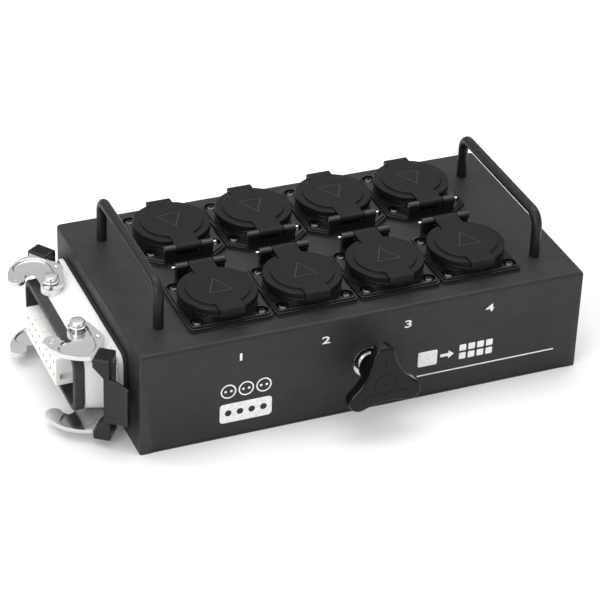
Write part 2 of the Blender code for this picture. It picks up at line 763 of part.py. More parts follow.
def inlet_housing_solid():
    flange = rounded_rectangle(INLET_FLANGE, INLET_FLANGE_CORNER)
    housing = prism(flange, INLET_FLANGE_BOTTOM, INLET_FLANGE_TOP)
    wall_bottom = INLET_FLANGE_TOP - OVERLAP
    join(housing, prism(rounded_rectangle(INLET_WALL, INLET_WALL_CORNER), wall_bottom, INLET_WALL_TOP))
    for side in (-1, 1):
        for x in (-PIVOT_HALF_SPACING, PIVOT_HALF_SPACING):
            low, high = sorted((side * BOSS_BASE, side * BOSS_FACE))
            join(housing, cylinder(BOSS_RADIUS, low, high, (PIVOT_OUT, x), SMALL_ROUND_STEPS, "Y"))
    seal_half = SEAL_OUTER[1] / 2 + GAP
    cut(
        housing,
        box((-SEAL_OUTER[0], -seal_half, INLET_WALL_TOP), (SEAL_OUTER[0], seal_half, SEAL_TOP)),
    )
    cavity = rounded_rectangle(INLET_CAVITY, INLET_CAVITY_CORNER)
    cut(housing, prism(cavity, INLET_FLANGE_BOTTOM - OVERLAP, INLET_WALL_TOP + OVERLAP))
    for side in (-1, 1):
        for x in (-PIVOT_HALF_SPACING, PIVOT_HALF_SPACING):
            low, high = sorted((side * BOSS_HOLE_END, side * (BOSS_FACE + OVERLAP)))
            cut(housing, cylinder(LEVER_PIVOT_HOLE_RADIUS, low, high, (PIVOT_OUT, x), SMALL_ROUND_STEPS, "Y"))
    return cut(housing, *[inlet_screw_cutter(spot) for spot in inlet_screw_spots()])


def inlet_gasket_solid():
    gasket = prism(rounded_rectangle(INLET_FLANGE, INLET_FLANGE_CORNER), GAP, INLET_GASKET_TOP)
    opening = rounded_rectangle(INLET_CAVITY, INLET_CAVITY_CORNER)
    cut(gasket, prism(opening, -OVERLAP, INLET_GASKET_TOP + OVERLAP))
    for spot in inlet_screw_spots():
        cut(gasket, cylinder(INLET_SCREW_HOLE_RADIUS, -OVERLAP, INLET_GASKET_TOP + OVERLAP, spot, HOLE_STEPS))
    return gasket


def rim_seal_solid():
    seal = prism(rounded_rectangle(SEAL_OUTER, INLET_WALL_CORNER, 4), SEAL_BOTTOM, SEAL_TOP)
    opening = rounded_rectangle(SEAL_INNER, INLET_CAVITY_CORNER, 4)
    return cut(seal, prism(opening, SEAL_BOTTOM - OVERLAP, SEAL_TOP + OVERLAP))


def insert_contact_spots():
    spots = []
    for column in range(INSERT_CONTACTS_PER_ROW):
        x = (column - (INSERT_CONTACTS_PER_ROW - 1) / 2) * INSERT_CONTACT_PITCH
        spots += [(x, -INSERT_ROW_SPACING / 2), (x, INSERT_ROW_SPACING / 2)]
    return spots


def insert_solid():
    """The contact insert: a plate in the housing, terminals behind it and a raised island."""
    insert = prism(
        rounded_rectangle(INSERT_PLATE, INLET_CAVITY_CORNER), INSERT_PLATE_BOTTOM, INSERT_PLATE_TOP
    )
    join(insert, centred_box(INSERT_REAR, INSERT_REAR_END, INSERT_PLATE_BOTTOM + OVERLAP))
    island = rounded_rectangle(INSERT_ISLAND, 0.0012, 1)
    join(insert, prism(island, INSERT_PLATE_TOP - OVERLAP, INSERT_TOP))
    for spot in insert_contact_spots():
        low = INSERT_TOP - INSERT_CONTACT_DEPTH
        cut(insert, cylinder(INSERT_CONTACT_RADIUS, low, INSERT_TOP + OVERLAP, spot, HOLE_STEPS))
    depth, height = INSERT_SLOT
    for side in (-1, 1):
        edge = side * INSERT_ISLAND[0] / 2
        low_x, high_x = sorted((edge - side * depth, edge + side * OVERLAP))
        low_y = INSERT_SLOT_Y - height / 2
        slot_bottom = INSERT_PLATE_TOP + OVERLAP
        cut(insert, box((low_x, low_y, slot_bottom), (high_x, low_y + height, INSERT_TOP + OVERLAP)))
    return insert


def inlet_screw_profile(spread, top, end):
    """A countersunk screw's outer side, with every radius made larger by spread."""
    sunk = INLET_FLANGE_TOP - INLET_SCREW_SINK
    head = INLET_SCREW_HEAD_RADIUS + spread
    shank = INLET_SCREW_RADIUS + spread
    return [(0, top), (head, top), (head, sunk), (shank, sunk - (head - shank)), (shank, end), (0, end)]


def inlet_screw_solid():
    top = INLET_FLANGE_TOP - GAP / 2
    return turned(inlet_screw_profile(0, top, INLET_SCREW_END), SMALL_ROUND_STEPS)


def inlet_screw_cutter(spot):
    profile = inlet_screw_profile(HOLE_GAP, INLET_FLANGE_TOP + OVERLAP, INLET_FLANGE_BOTTOM - OVERLAP)
    return moved(turned(profile, SMALL_ROUND_STEPS), Matrix.Translation((*spot, 0)))


def make_inlet():
    home = frame("inlet_frame", INLET_PLACE)
    placed(inlet_gasket_solid(), "inlet_flange_gasket", "gasket_rubber", home)
    placed(inlet_housing_solid(), "inlet_housing", "die_cast", home)
    placed(rim_seal_solid(), "inlet_rim_seal", "seal_rubber", home)
    placed(insert_solid(), "inlet_insert", "insert_plastic", home)
    first = None
    for number, (x, y) in enumerate(inlet_screw_spots(), 1):
        name = f"inlet_screw_{number}"
        if first is None:
            first = placed(inlet_screw_solid(), name, "bright_steel", home, (x, y, 0))
        else:
            copy_of(first, name, home, (x, y, 0))


# Locking levers.


def lever_plate_solid(side):
    """side is 1 for the plate above the inlet's middle and -1 for the one below."""
    low, high = sorted((side * LEVER_PLATE_INNER, side * LEVER_PLATE_OUTER))
    plate = prism(lever_outline(), low, high)
    return cut(plate, cylinder(LEVER_PIVOT_HOLE_RADIUS, low - OVERLAP, high + OVERLAP))


def grip_waist_cutter(corner, along, out):
    """Clears the room between the end blocks, with slanted shoulders. Its outline is in (out, Z)."""
    slant = (GRIP_WAIST_MOUTH_HALF_HEIGHT - GRIP_WAIST_HALF_HEIGHT) / GRIP_WAIST_DEPTH
    mouth = GRIP_WAIST_MOUTH_HALF_HEIGHT + slant * OVERLAP
    outline = [
        (-OVERLAP, mouth),
        (GRIP_WAIST_DEPTH, GRIP_WAIST_HALF_HEIGHT),
        (GRIP_WAIST_DEPTH, -GRIP_WAIST_HALF_HEIGHT),
        (-OVERLAP, -mouth),
    ]
    place = Matrix(
        ((out.x, 0, -along.x, corner.x), (out.y, 0, -along.y, corner.y), (0, 1, 0, 0), (0, 0, 0, 1))
    )
    return moved(prism(outline, -GRIP_LENGTH - OVERLAP, OVERLAP), place)


def grip_solid():
    """A bar from plate to plate: a block at each end, a slimmer middle and a tapered finger lip."""
    along = GRIP_DIRECTION
    out = Vector((along.y, -along.x))
    inner_low = GRIP_CORNER
    inner_high = inner_low + along * GRIP_LENGTH
    outer_low = inner_low + out * GRIP_DEPTH
    outer_high = inner_high + out * GRIP_DEPTH
    block = [tuple(corner) for corner in (inner_low, outer_low, outer_high, inner_high)]
    grip = prism(block, -GRIP_HALF_HEIGHT, GRIP_HALF_HEIGHT)
    cut(grip, grip_waist_cutter(inner_low, along, out))
    lip_face = Vector((-LIP_DIRECTION.y, LIP_DIRECTION.x))
    join(grip, lip_solid(outer_high - along * GAP - lip_face * LIP_THICKNESS / 2))
    middle = inner_low + along * GRIP_LENGTH / 2
    for side in (-1, 1):
        low, high = sorted((side * (LEVER_PLATE_INNER - GAP), side * (LEVER_PLATE_OUTER + GAP)))
        half = along * (GRIP_TONGUE_HALF + GAP)
        depth = out * (GRIP_TONGUE_LENGTH + 2 * GAP)
        mouth = middle - out * OVERLAP
        slot = [mouth - half, middle + depth - half, middle + depth + half, mouth + half]
        cut(grip, prism([tuple(corner) for corner in slot], low, high))
    return grip


def lip_solid(start):
    """A plate from start along the lip's direction, lower at its tip than at its root."""
    half = LIP_THICKNESS / 2
    tall = LIP_ROOT_HALF_HEIGHT
    lip = box((-LIP_ROOT, -half, -tall), (LIP_LENGTH, half, tall))
    for vert in lip.data.vertices:
        if vert.co.x > 0:
            vert.co.z *= LIP_TIP_HALF_HEIGHT / LIP_ROOT_HALF_HEIGHT
    turn = Matrix.Rotation(math.atan2(LIP_DIRECTION.y, LIP_DIRECTION.x), 4, "Z")
    return moved(lip, Matrix.Translation((start.x, start.y, 0)) @ turn)


def pivot_solid(side):
    washer_bottom = LEVER_PLATE_OUTER + GAP
    profile = [
        (0, PIVOT_HEAD_TOP),
        (PIVOT_HEAD_RADIUS, PIVOT_HEAD_TOP),
        (PIVOT_HEAD_RADIUS, PIVOT_WASHER_TOP),
        (PIVOT_WASHER_RADIUS, PIVOT_WASHER_TOP),
        (PIVOT_WASHER_RADIUS, washer_bottom),
        (PIVOT_SHANK_RADIUS, washer_bottom),
        (PIVOT_SHANK_RADIUS, PIVOT_SHANK_END),
        (0, PIVOT_SHANK_END),
    ]
    pivot = turned(profile, SMALL_ROUND_STEPS)
    if side < 0:
        moved(pivot, Matrix.Rotation(math.pi, 4, "X"))
    return pivot


def make_levers():
    """The front lever is the back one turned over about X, so its own top plate ends up below."""
    pieces = {
        ("plate", 1): (lever_plate_solid(1), "lever_steel"),
        ("plate", -1): (lever_plate_solid(-1), "lever_steel"),
        ("pivot", 1): (pivot_solid(1), "bright_steel"),
        ("pivot", -1): (pivot_solid(-1), "bright_steel"),
        ("grip", 0): (grip_solid(), "grip_plastic"),
    }
    level = {1: "_top", -1: "_bottom", 0: ""}
    firsts = {}
    for lever, way in (("back", 1), ("front", -1)):
        place = Matrix.Translation(
            (-BOX_LENGTH / 2 - PIVOT_OUT, INLET_Y + way * PIVOT_HALF_SPACING, INLET_Z)
        )
        turn = Matrix.Rotation(0 if way > 0 else math.pi, 4, "X")
        home = frame(f"{lever}_lever_frame", place @ turn)
        for (kind, side), (solid, finish) in pieces.items():
            name = f"{lever}_lever_{kind}{level[side * way]}"
            key = (kind, side)
            if key in firsts:
                copy_of(firsts[key], name, home)
            else:
                firsts[key] = placed(solid, name, finish, home)


# Clamp.


def knob_solid():
    knob = prism(knob_outline(), KNOB_LOBE_BACK, KNOB_FRONT)
    bevelled(
        knob,
        KNOB_EDGE,
        1,
        lambda edge: all(vert.co.z > KNOB_FRONT - WELD_DISTANCE for vert in edge.verts)
        and edge.calc_face_angle(0) > 1,
    )
    join(knob, cylinder(KNOB_HUB_RADIUS, KNOB_BACK, KNOB_LOBE_BACK + OVERLAP, steps=ROUND_STEPS))
    bore_end = INSERT_NUT_FRONT + GAP
    cut(knob, cylinder(INSERT_NUT_RADIUS + GAP, KNOB_BACK - OVERLAP, bore_end, steps=ROUND_STEPS))
    return cut(knob, cylinder(STUD_HOLE_RADIUS, bore_end - OVERLAP, STUD_ROOM_END))


def knob_nut_solid():
    nut = cylinder(INSERT_NUT_RADIUS, INSERT_NUT_BACK, INSERT_NUT_FRONT, steps=ROUND_STEPS)
    return cut(nut, cylinder(STUD_HOLE_RADIUS, INSERT_NUT_BACK - OVERLAP, INSERT_NUT_FRONT + OVERLAP))


def stud_solid():
    head_top = -SHEET - GAP
    stud = cylinder(STUD_RADIUS, head_top - OVERLAP, STUD_END - GAP)
    return join(stud, cylinder(STUD_HEAD_RADIUS, head_top - STUD_HEAD_HEIGHT, head_top, steps=6))


def washer_solid():
    return turned(
        [
            (STUD_HOLE_RADIUS, WASHER_RING_TOP),
            (WASHER_RING_RADIUS, WASHER_RING_TOP),
            (WASHER_RING_RADIUS, WASHER_TOP),
            (WASHER_RADIUS, WASHER_TOP),
            (WASHER_RADIUS, GAP),
            (STUD_HOLE_RADIUS, GAP),
        ],
        closed=True,
    )


def make_clamp():
    home = frame("clamp_frame", CLAMP_PLACE)
    placed(stud_solid(), "clamp_stud", "bright_steel", home)
    placed(washer_solid(), "clamp_washer", "bright_steel", home)
    placed(knob_nut_solid(), "knob_nut", "brass", home)
    placed(knob_solid(), "clamp_knob", "knob_plastic", home)


# Inner pieces.


def make_earth_stud():
    stud = cylinder(EARTH_STUD_RADIUS, EARTH_NUTS[0][0], EARTH_STUD_TOP)
    for low, high in EARTH_NUTS:
        join(stud, cylinder(EARTH_NUT_RADIUS, low, high, steps=6))
    placed(stud, "earth_stud", "bright_steel", offset=(*EARTH_STUD_AT, 0), smooth=False)


def make_loom():
    """A trunk from the inlet's terminals down the middle, with a branch to each socket."""
    start = -BOX_LENGTH / 2 - INSERT_REAR_END + LOOM_END_GAP
    last_x = (SOCKETS_PER_ROW - 1) / 2 * SOCKET_PITCH
    loom = cylinder(LOOM_RADIUS, start, last_x, (LOOM_Y, LOOM_Z), SMALL_ROUND_STEPS, "X")
    rear = BOX_HEIGHT + SOCKET_REAR
    for _, x, y, _ in socket_places():
        side = math.copysign(1, y)
        foot = y - side * LOOM_FOOT
        path = [
            (x - 2 * LOOM_SWEEP, LOOM_Y, LOOM_Z),
            (x - LOOM_SWEEP, LOOM_Y + side * 1.6 * LOOM_SWEEP, LOOM_Z),
            (x, foot - side * LOOM_SWEEP, LOOM_Z),
            (x, foot, rear - LOOM_SWEEP),
            (x, foot, rear - LOOM_END_GAP),
        ]
        join(loom, tube(path, LOOM_BRANCH_RADIUS, 2))
    placed(loom, "wiring_loom", "wire_jacket")


def main():
    make_cover()
    make_base_plate()
    make_handles()
    make_sockets()
    make_inlet()
    make_levers()
    make_clamp()
    make_earth_stud()
    make_loom()


main()
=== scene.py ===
"""Portable power distribution box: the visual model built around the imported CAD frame.

Shapes are made in millimetres in local frames, scaled to metres and placed by the record's
joints and the CAD nodes' boxes.
"""

import json
import math

import bmesh
import bpy
from mathutils import Matrix, Vector


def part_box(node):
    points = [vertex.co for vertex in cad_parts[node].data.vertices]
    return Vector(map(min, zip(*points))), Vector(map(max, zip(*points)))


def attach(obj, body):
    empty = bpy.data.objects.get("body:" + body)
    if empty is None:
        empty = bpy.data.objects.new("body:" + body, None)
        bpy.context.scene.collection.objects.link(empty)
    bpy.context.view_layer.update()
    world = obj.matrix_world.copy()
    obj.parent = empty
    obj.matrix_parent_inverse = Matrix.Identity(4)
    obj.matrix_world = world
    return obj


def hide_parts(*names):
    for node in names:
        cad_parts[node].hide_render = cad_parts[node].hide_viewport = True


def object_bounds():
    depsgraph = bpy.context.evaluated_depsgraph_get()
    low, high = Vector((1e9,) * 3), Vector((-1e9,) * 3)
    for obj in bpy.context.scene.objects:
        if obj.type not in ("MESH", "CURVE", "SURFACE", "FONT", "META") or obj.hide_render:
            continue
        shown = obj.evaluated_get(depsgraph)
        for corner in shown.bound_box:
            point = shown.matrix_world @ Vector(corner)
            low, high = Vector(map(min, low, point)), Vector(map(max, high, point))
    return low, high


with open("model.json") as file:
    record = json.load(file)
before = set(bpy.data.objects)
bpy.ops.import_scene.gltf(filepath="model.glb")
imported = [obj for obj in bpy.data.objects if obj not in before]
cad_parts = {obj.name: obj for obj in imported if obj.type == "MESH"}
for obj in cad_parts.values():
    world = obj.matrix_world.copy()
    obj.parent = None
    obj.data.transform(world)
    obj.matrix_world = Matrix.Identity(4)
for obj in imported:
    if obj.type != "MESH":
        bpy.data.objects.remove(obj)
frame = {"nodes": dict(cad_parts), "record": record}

CAD_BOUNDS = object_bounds()
SCENE = bpy.context.scene
MM = 0.001
TO_METRES = Matrix.Scale(MM, 4)
JOINTS = {joint["name"]: joint for joint in frame["record"]["behaviour"]["joints"]}


# Mesh helpers. Each returns a scratch object whose mesh is in millimetres.


def raw(verts, faces):
    mesh = bpy.data.meshes.new("raw")
    mesh.from_pydata([tuple(vert) for vert in verts], [], faces)
    return cleaned(linked(mesh))


def linked(mesh, name="raw"):
    obj = bpy.data.objects.new(name, mesh)
    SCENE.collection.objects.link(obj)
    return obj


def cleaned(obj):
    work = bmesh.new()
    work.from_mesh(obj.data)
    bmesh.ops.remove_doubles(work, verts=work.verts, dist=1e-4)
    bmesh.ops.dissolve_degenerate(work, edges=work.edges, dist=1e-5)
    bmesh.ops.recalc_face_normals(work, faces=work.faces)
    work.to_mesh(obj.data)
    work.free()
    return obj


def baked(obj, clean=True):
    graph = bpy.context.evaluated_depsgraph_get()
    mesh = bpy.data.meshes.new_from_object(obj.evaluated_get(graph))
    obj.modifiers.clear()
    obj.data = mesh
    return cleaned(obj) if clean else obj


def loft(rings):
    """Joins closed rings of the same number of 3-D points, with both ends capped."""
    count = len(rings[0])
    verts = [point for ring in rings for point in ring]
    faces = []
    for level in range(len(rings) - 1):
        a = level * count
        b = a + count
        faces += [(a + i, a + (i + 1) % count, b + (i + 1) % count, b + i) for i in range(count)]
    faces += [tuple(reversed(range(count))), tuple(range(len(verts) - count, len(verts)))]
    return raw(verts, faces)


def prism(outline, low, high):
    return loft([[(x, y, z) for x, y in outline] for z in (low, high)])


def side_prism(outline, low, high):
    """An outline of (y, z) points from x low to x high."""
    return loft([[(x, y, z) for y, z in outline] for x in (low, high)])


def box(low, high):
    (x0, y0, z0), (x1, y1, z1) = low, high
    return prism([(x0, y0), (x1, y0), (x1, y1), (x0, y1)], z0, z1)


def turned(profile, steps=48, closed=False):
    """Turns (radius, z) points about Z. An open profile starts and ends on the axis."""
    verts = []
    for radius, z in profile:
        for i in range(steps):
            angle = 2 * math.pi * i / steps
            verts.append((radius * math.cos(angle), radius * math.sin(angle), z))
    rows = len(profile)
    faces = []
    for row in range(rows if closed else rows - 1):
        a = row * steps
        b = (row + 1) % rows * steps
        faces += [(a + i, a + (i + 1) % steps, b + (i + 1) % steps, b + i) for i in range(steps)]
    return raw(verts, faces)


def cylinder(radius, low, high, centre=(0, 0), steps=32, axis="Z"):
    """A cylinder from low to high. centre is (x, y) on Z, (y, z) on X and (x, z) on Y."""
    obj = prism(arc((0, 0), radius, 0, 360, steps)[:-1], low, high)
    x, y = centre
    if axis == "X":
        turn = Matrix(((0, 0, 1, 0), (1, 0, 0, x), (0, 1, 0, y), (0, 0, 0, 1)))
    elif axis == "Y":
        turn = Matrix(((1, 0, 0, x), (0, 0, 1, 0), (0, -1, 0, y), (0, 0, 0, 1)))
    else:
        turn = Matrix.Translation((x, y, 0))
    return moved(obj, turn)


def tube(points, radius, steps=24):
    """A rod along points, with flat ends."""
    points = [Vector(point) for point in points]
    rings = []
    side = None
    for i, point in enumerate(points):
        ahead = points[min(i + 1, len(points) - 1)]
        behind = points[max(i - 1, 0)]
        along = (ahead - behind).normalized()
        if side is None:
            side = along.orthogonal().normalized()
        side = (side - along * side.dot(along)).normalized()
        up = along.cross(side)
        ring = []
        for k in range(steps):
            angle = 2 * math.pi * k / steps
            ring.append(point + radius * (math.cos(angle) * side + math.sin(angle) * up))
        rings.append(ring)
    return loft(rings)


def threaded(radius, depth, pitch, low, high, steps=40):
    """A rod with a helical thread."""
    rows = int((high - low) / pitch * 8)
    rings = []
    for row in range(rows + 1):
        z = low + (high - low) * row / rows
        ring = []
        for i in range(steps):
            turn = i / steps
            phase = (z / pitch - turn) % 1
            r = radius - depth * abs(2 * phase - 1)
            if row in (0, rows):
                r = radius - depth
            ring.append((r * math.cos(2 * math.pi * turn), r * math.sin(2 * math.pi * turn), z))
        rings.append(ring)
    return loft(rings)


def arc(centre, radius, start, end, steps):
    points = []
    for i in range(steps + 1):
        angle = math.radians(start + (end - start) * i / steps)
        points.append((centre[0] + radius * math.cos(angle), centre[1] + radius * math.sin(angle)))
    return points


def rounded_rectangle(size, radius, steps=5, centre=(0, 0)):
    half_x = size[0] / 2 - radius
    half_y = size[1] / 2 - radius
    corners = ((half_x, half_y), (-half_x, half_y), (-half_x, -half_y), (half_x, -half_y))
    points = []
    for quarter, (x, y) in enumerate(corners):
        start = 90 * quarter
        points += arc((centre[0] + x, centre[1] + y), radius, start, start + 90, steps)
    return points


def flat(outline, z):
    return [(x, y, z) for x, y in outline]


def span(side, near, far):
    """The low and high ends of a stretch from near to far, on one side of the middle."""
    return sorted((side * near, side * far))


def moved(obj, matrix):
    obj.data.transform(matrix)
    if matrix.determinant() < 0:
        obj.data.flip_normals()
    return obj


def together(first, *others):
    """Puts closed pieces into one mesh as they are."""
    work = bmesh.new()
    for obj in (first, *others):
        work.from_mesh(obj.data)
    work.to_mesh(first.data)
    work.free()
    for obj in others:
        bpy.data.objects.remove(obj)
    return first


def boolean(target, operation, tools):
    for tool in tools:
        modifier = target.modifiers.new("cut", "BOOLEAN")
        modifier.operation = operation
        modifier.solver = "EXACT"
        modifier.object = tool
        baked(target)
        bpy.data.objects.remove(tool)
    return target


def cut(target, *tools):
    return boolean(target, "DIFFERENCE", tools)


def join(target, *tools):
    return boolean(target, "UNION", tools)


def softened(obj, width, segments=2, angle=35):
    modifier = obj.modifiers.new("edges", "BEVEL")
    modifier.width = width
    modifier.segments = segments
    modifier.limit_method = "ANGLE"
    modifier.angle_limit = math.radians(angle)
    return baked(obj)


def finished(obj, finish, smooth=40):
    """The mesh in metres, shaded smooth with face-weighted normals, in its finish."""
    moved(obj, TO_METRES)
    mesh = obj.data
    mesh.shade_smooth()
    mesh.set_sharp_from_angle(angle=math.radians(smooth))
    modifier = obj.modifiers.new("normals", "WEIGHTED_NORMAL")
    modifier.keep_sharp = True
    baked(obj, clean=False)
    mesh = obj.data
    mesh.materials.clear()
    mesh.materials.append(FINISHES[finish])
    bpy.data.objects.remove(obj)
    return mesh


def piece(mesh, name, body, place=Matrix.Identity(4), stands_for=()):
    obj = linked(mesh, name)
    obj.matrix_world = place
    if stands_for:
        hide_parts(*stands_for)
    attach(obj, body)
    return obj


# Materials.


class Finish:
    """A procedural material around one Principled shader."""

    def __init__(self, name, roughness=0.5, metallic=0.0, specular=0.5, coat=0.0, coat_roughness=0.1):
        self.material = bpy.data.materials.new(name)
        self.material.use_nodes = True
        self.tree = self.material.node_tree
        self.shader = self.tree.nodes["Principled BSDF"]
        self.shader.inputs["Roughness"].default_value = roughness
        self.shader.inputs["Metallic"].default_value = metallic
        self.shader.inputs["Specular IOR Level"].default_value = specular
        self.shader.inputs["Coat Weight"].default_value = coat
        self.shader.inputs["Coat Roughness"].default_value = coat_roughness
        self.place = self.node("ShaderNodeTexCoord").outputs["Object"]
        self.normal = None

    def node(self, kind, **settings):
        made = self.tree.nodes.new(kind)
        for key, value in settings.items():
            setattr(made, key, value)
        return made

    def feed(self, socket, value):
        if isinstance(value, bpy.types.NodeSocket):
            self.tree.links.new(value, socket)
        else:
            socket.default_value = value

    def stretched(self, scale):
        mapping = self.node("ShaderNodeMapping")
        self.feed(mapping.inputs["Vector"], self.place)
        mapping.inputs["Scale"].default_value = scale
        return mapping.outputs["Vector"]

    def noise(self, scale, detail=2.0, rough=0.5, place=None):
        made = self.node("ShaderNodeTexNoise")
        self.feed(made.inputs["Vector"], place or self.place)
        made.inputs["Scale"].default_value = scale
        made.inputs["Detail"].default_value = detail
        made.inputs["Roughness"].default_value = rough
        return made.outputs["Fac"]

    def cells(self, scale, feature="F1"):
        made = self.node("ShaderNodeTexVoronoi", feature=feature)
        self.feed(made.inputs["Vector"], self.place)
        made.inputs["Scale"].default_value = scale
        return made.outputs["Distance"]

    def spread(self, value, low, high, to_low=0.0, to_high=1.0):
        made = self.node("ShaderNodeMapRange")
        self.feed(made.inputs["Value"], value)
        for key, number in (("From Min", low), ("From Max", high), ("To Min", to_low), ("To Max", to_high)):
            made.inputs[key].default_value = number
        return made.outputs["Result"]

    def maths(self, a, b, operation="ADD"):
        made = self.node("ShaderNodeMath", operation=operation)
        self.feed(made.inputs[0], a)
        self.feed(made.inputs[1], b)
        return made.outputs["Value"]

    def mix(self, factor, a, b):
        made = self.node("ShaderNodeMix", data_type="RGBA")
        self.feed(made.inputs["Factor"], factor)
        self.feed(made.inputs[6], a)
        self.feed(made.inputs[7], b)
        return made.outputs[2]

    def edges(self, low, high):
        """1 on convex edges, 0 elsewhere."""
        point = self.node("ShaderNodeNewGeometry").outputs["Pointiness"]
        return self.spread(point, low, high)

    def bump(self, height, distance, strength=1.0):
        made = self.node("ShaderNodeBump")
        self.feed(made.inputs["Height"], height)
        made.inputs["Distance"].default_value = distance
        made.inputs["Strength"].default_value = strength
        if self.normal is not None:
            self.feed(made.inputs["Normal"], self.normal)
        self.normal = made.outputs["Normal"]
        self.feed(self.shader.inputs["Normal"], self.normal)
        return self

    def colour(self, value):
        self.feed(self.shader.inputs["Base Color"], value)
        return self

    def rough(self, value):
        self.feed(self.shader.inputs["Roughness"], value)
        return self


def grey(value, blue=0.0):
    return (value, value * (1 + blue / 2), value * (1 + blue), 1)


def powder_coat():
    made = Finish("powder_coat", specular=0.32)
    mottle = made.noise(38, 4, 0.6)
    base = made.mix(made.spread(mottle, 0.35, 0.65), grey(0.016, 0.04), grey(0.021, 0.04))
    # Lighter specks painted into the colour stand in for the coat's sparkle glints: painted highlights.
    painted_glints = made.spread(made.cells(310), 0.10, 0.055)
    with_painted_glints = made.mix(made.maths(painted_glints, 0.40, "MULTIPLY"), base, grey(0.10))
    worn = made.maths(made.edges(0.53, 0.60), made.noise(400, 3), "MULTIPLY")
    made.colour(made.mix(made.maths(worn, 0.5, "MULTIPLY"), with_painted_glints, grey(0.060)))
    made.rough(made.spread(made.noise(120, 3), 0.3, 0.7, 0.44, 0.56))
    made.bump(made.noise(900, 2, 0.6), 0.00007, 0.7)
    made.bump(made.noise(2600, 1, 0.5), 0.00003, 0.6)
    return made.material


def rod_coat():
    made = Finish("rod_coat", specular=0.35)
    made.colour(made.mix(made.noise(90, 3), grey(0.005, 0.05), grey(0.009, 0.05)))
    made.rough(made.spread(made.noise(200, 3), 0.3, 0.7, 0.36, 0.50))
    made.bump(made.noise(800, 2), 0.00003, 0.5)
    return made.material


def moulded(name, dark, light, rough_low, rough_high, grain, depth, specular=0.5):
    """A moulded plastic with a spark-eroded grain, rubbed paler along its edges."""
    made = Finish(name, specular=specular)
    base = made.mix(made.spread(made.noise(55, 4, 0.6), 0.3, 0.7), dark, light)
    worn = made.maths(made.edges(0.52, 0.60), made.noise(500, 3), "MULTIPLY")
    pale = tuple(min(1.0, channel * 2.4) for channel in light[:3]) + (1,)
    made.colour(made.mix(made.maths(worn, 0.6, "MULTIPLY"), base, pale))
    made.rough(made.spread(made.noise(150, 3), 0.3, 0.7, rough_low, rough_high))
    made.bump(made.noise(grain, 2, 0.6), depth, 0.5)
    return made


def metal(name, colour, rough_low, rough_high, brushed, depth=0.00001):
    """A plated or rolled metal with fine scratches stretched by brushed."""
    made = Finish(name, metallic=1.0)
    streak = made.noise(1.0, 4, 0.6, made.stretched(brushed))
    darker = tuple(channel * 0.86 for channel in colour[:3]) + (1,)
    tone = made.mix(made.spread(made.noise(70, 4), 0.3, 0.7), darker, colour)
    made.colour(made.mix(made.spread(streak, 0.3, 0.75, 0.0, 0.5), tone, darker))
    made.rough(made.spread(streak, 0.3, 0.7, rough_low, rough_high))
    made.bump(streak, depth, 0.4)
    made.bump(made.noise(450, 3), depth, 0.3)
    return made


def die_cast():
    made = Finish("die_cast", specular=0.5, coat=0.12, coat_roughness=0.3)
    tone = made.mix(made.spread(made.noise(45, 3), 0.3, 0.7), (0.82, 0.82, 0.85, 1), (0.88, 0.88, 0.91, 1))
    worn = made.maths(made.edges(0.53, 0.62), made.noise(350, 3), "MULTIPLY")
    made.colour(made.mix(made.maths(worn, 0.5, "MULTIPLY"), tone, (0.58, 0.58, 0.60, 1)))
    made.rough(made.spread(made.noise(160, 3), 0.3, 0.7, 0.36, 0.5))
    made.bump(made.noise(520, 3, 0.55), 0.00004, 0.5)
    return made.material


def knob_plastic():
    """Moulded thermoset: satin on the faces across the knob's axis, glossy on its flanks."""
    made = moulded("knob_plastic", grey(0.002), grey(0.004), 0.45, 0.55, 1500, 0.00002, 0.25)
    split = made.node("ShaderNodeSeparateXYZ")
    made.feed(split.inputs["Vector"], made.node("ShaderNodeTexCoord").outputs["Normal"])
    satin = made.spread(split.outputs["Z"], 0.75, 0.95)
    made.rough(made.maths(made.maths(satin, 0.36, "MULTIPLY"), 0.14))
    return made.material


def wire_jacket():
    made = Finish("wire_jacket", roughness=0.6)
    weave = made.node("ShaderNodeTexWave", wave_type="BANDS", bands_direction="DIAGONAL")
    made.feed(weave.inputs["Vector"], made.place)
    weave.inputs["Scale"].default_value = 260
    weave.inputs["Distortion"].default_value = 1.5
    made.colour(made.mix(weave.outputs["Fac"], grey(0.03), grey(0.09)))
    made.rough(made.spread(made.noise(300, 2), 0.3, 0.7, 0.5, 0.7))
    made.bump(weave.outputs["Fac"], 0.0002, 0.6)
    return made.material


def ink():
    made = Finish("white_ink", roughness=0.5)
    cover = made.spread(made.noise(700, 4), 0.35, 0.6)
    made.colour(made.mix(cover, (0.72, 0.72, 0.71, 1), (0.88, 0.88, 0.87, 1)))
    made.rough(made.spread(made.noise(900, 2), 0.3, 0.7, 0.42, 0.6))
    made.bump(made.noise(900, 2), 0.00002, 0.4)
    return made.material


EVEN_SCRATCHES = (300, 300, 300)

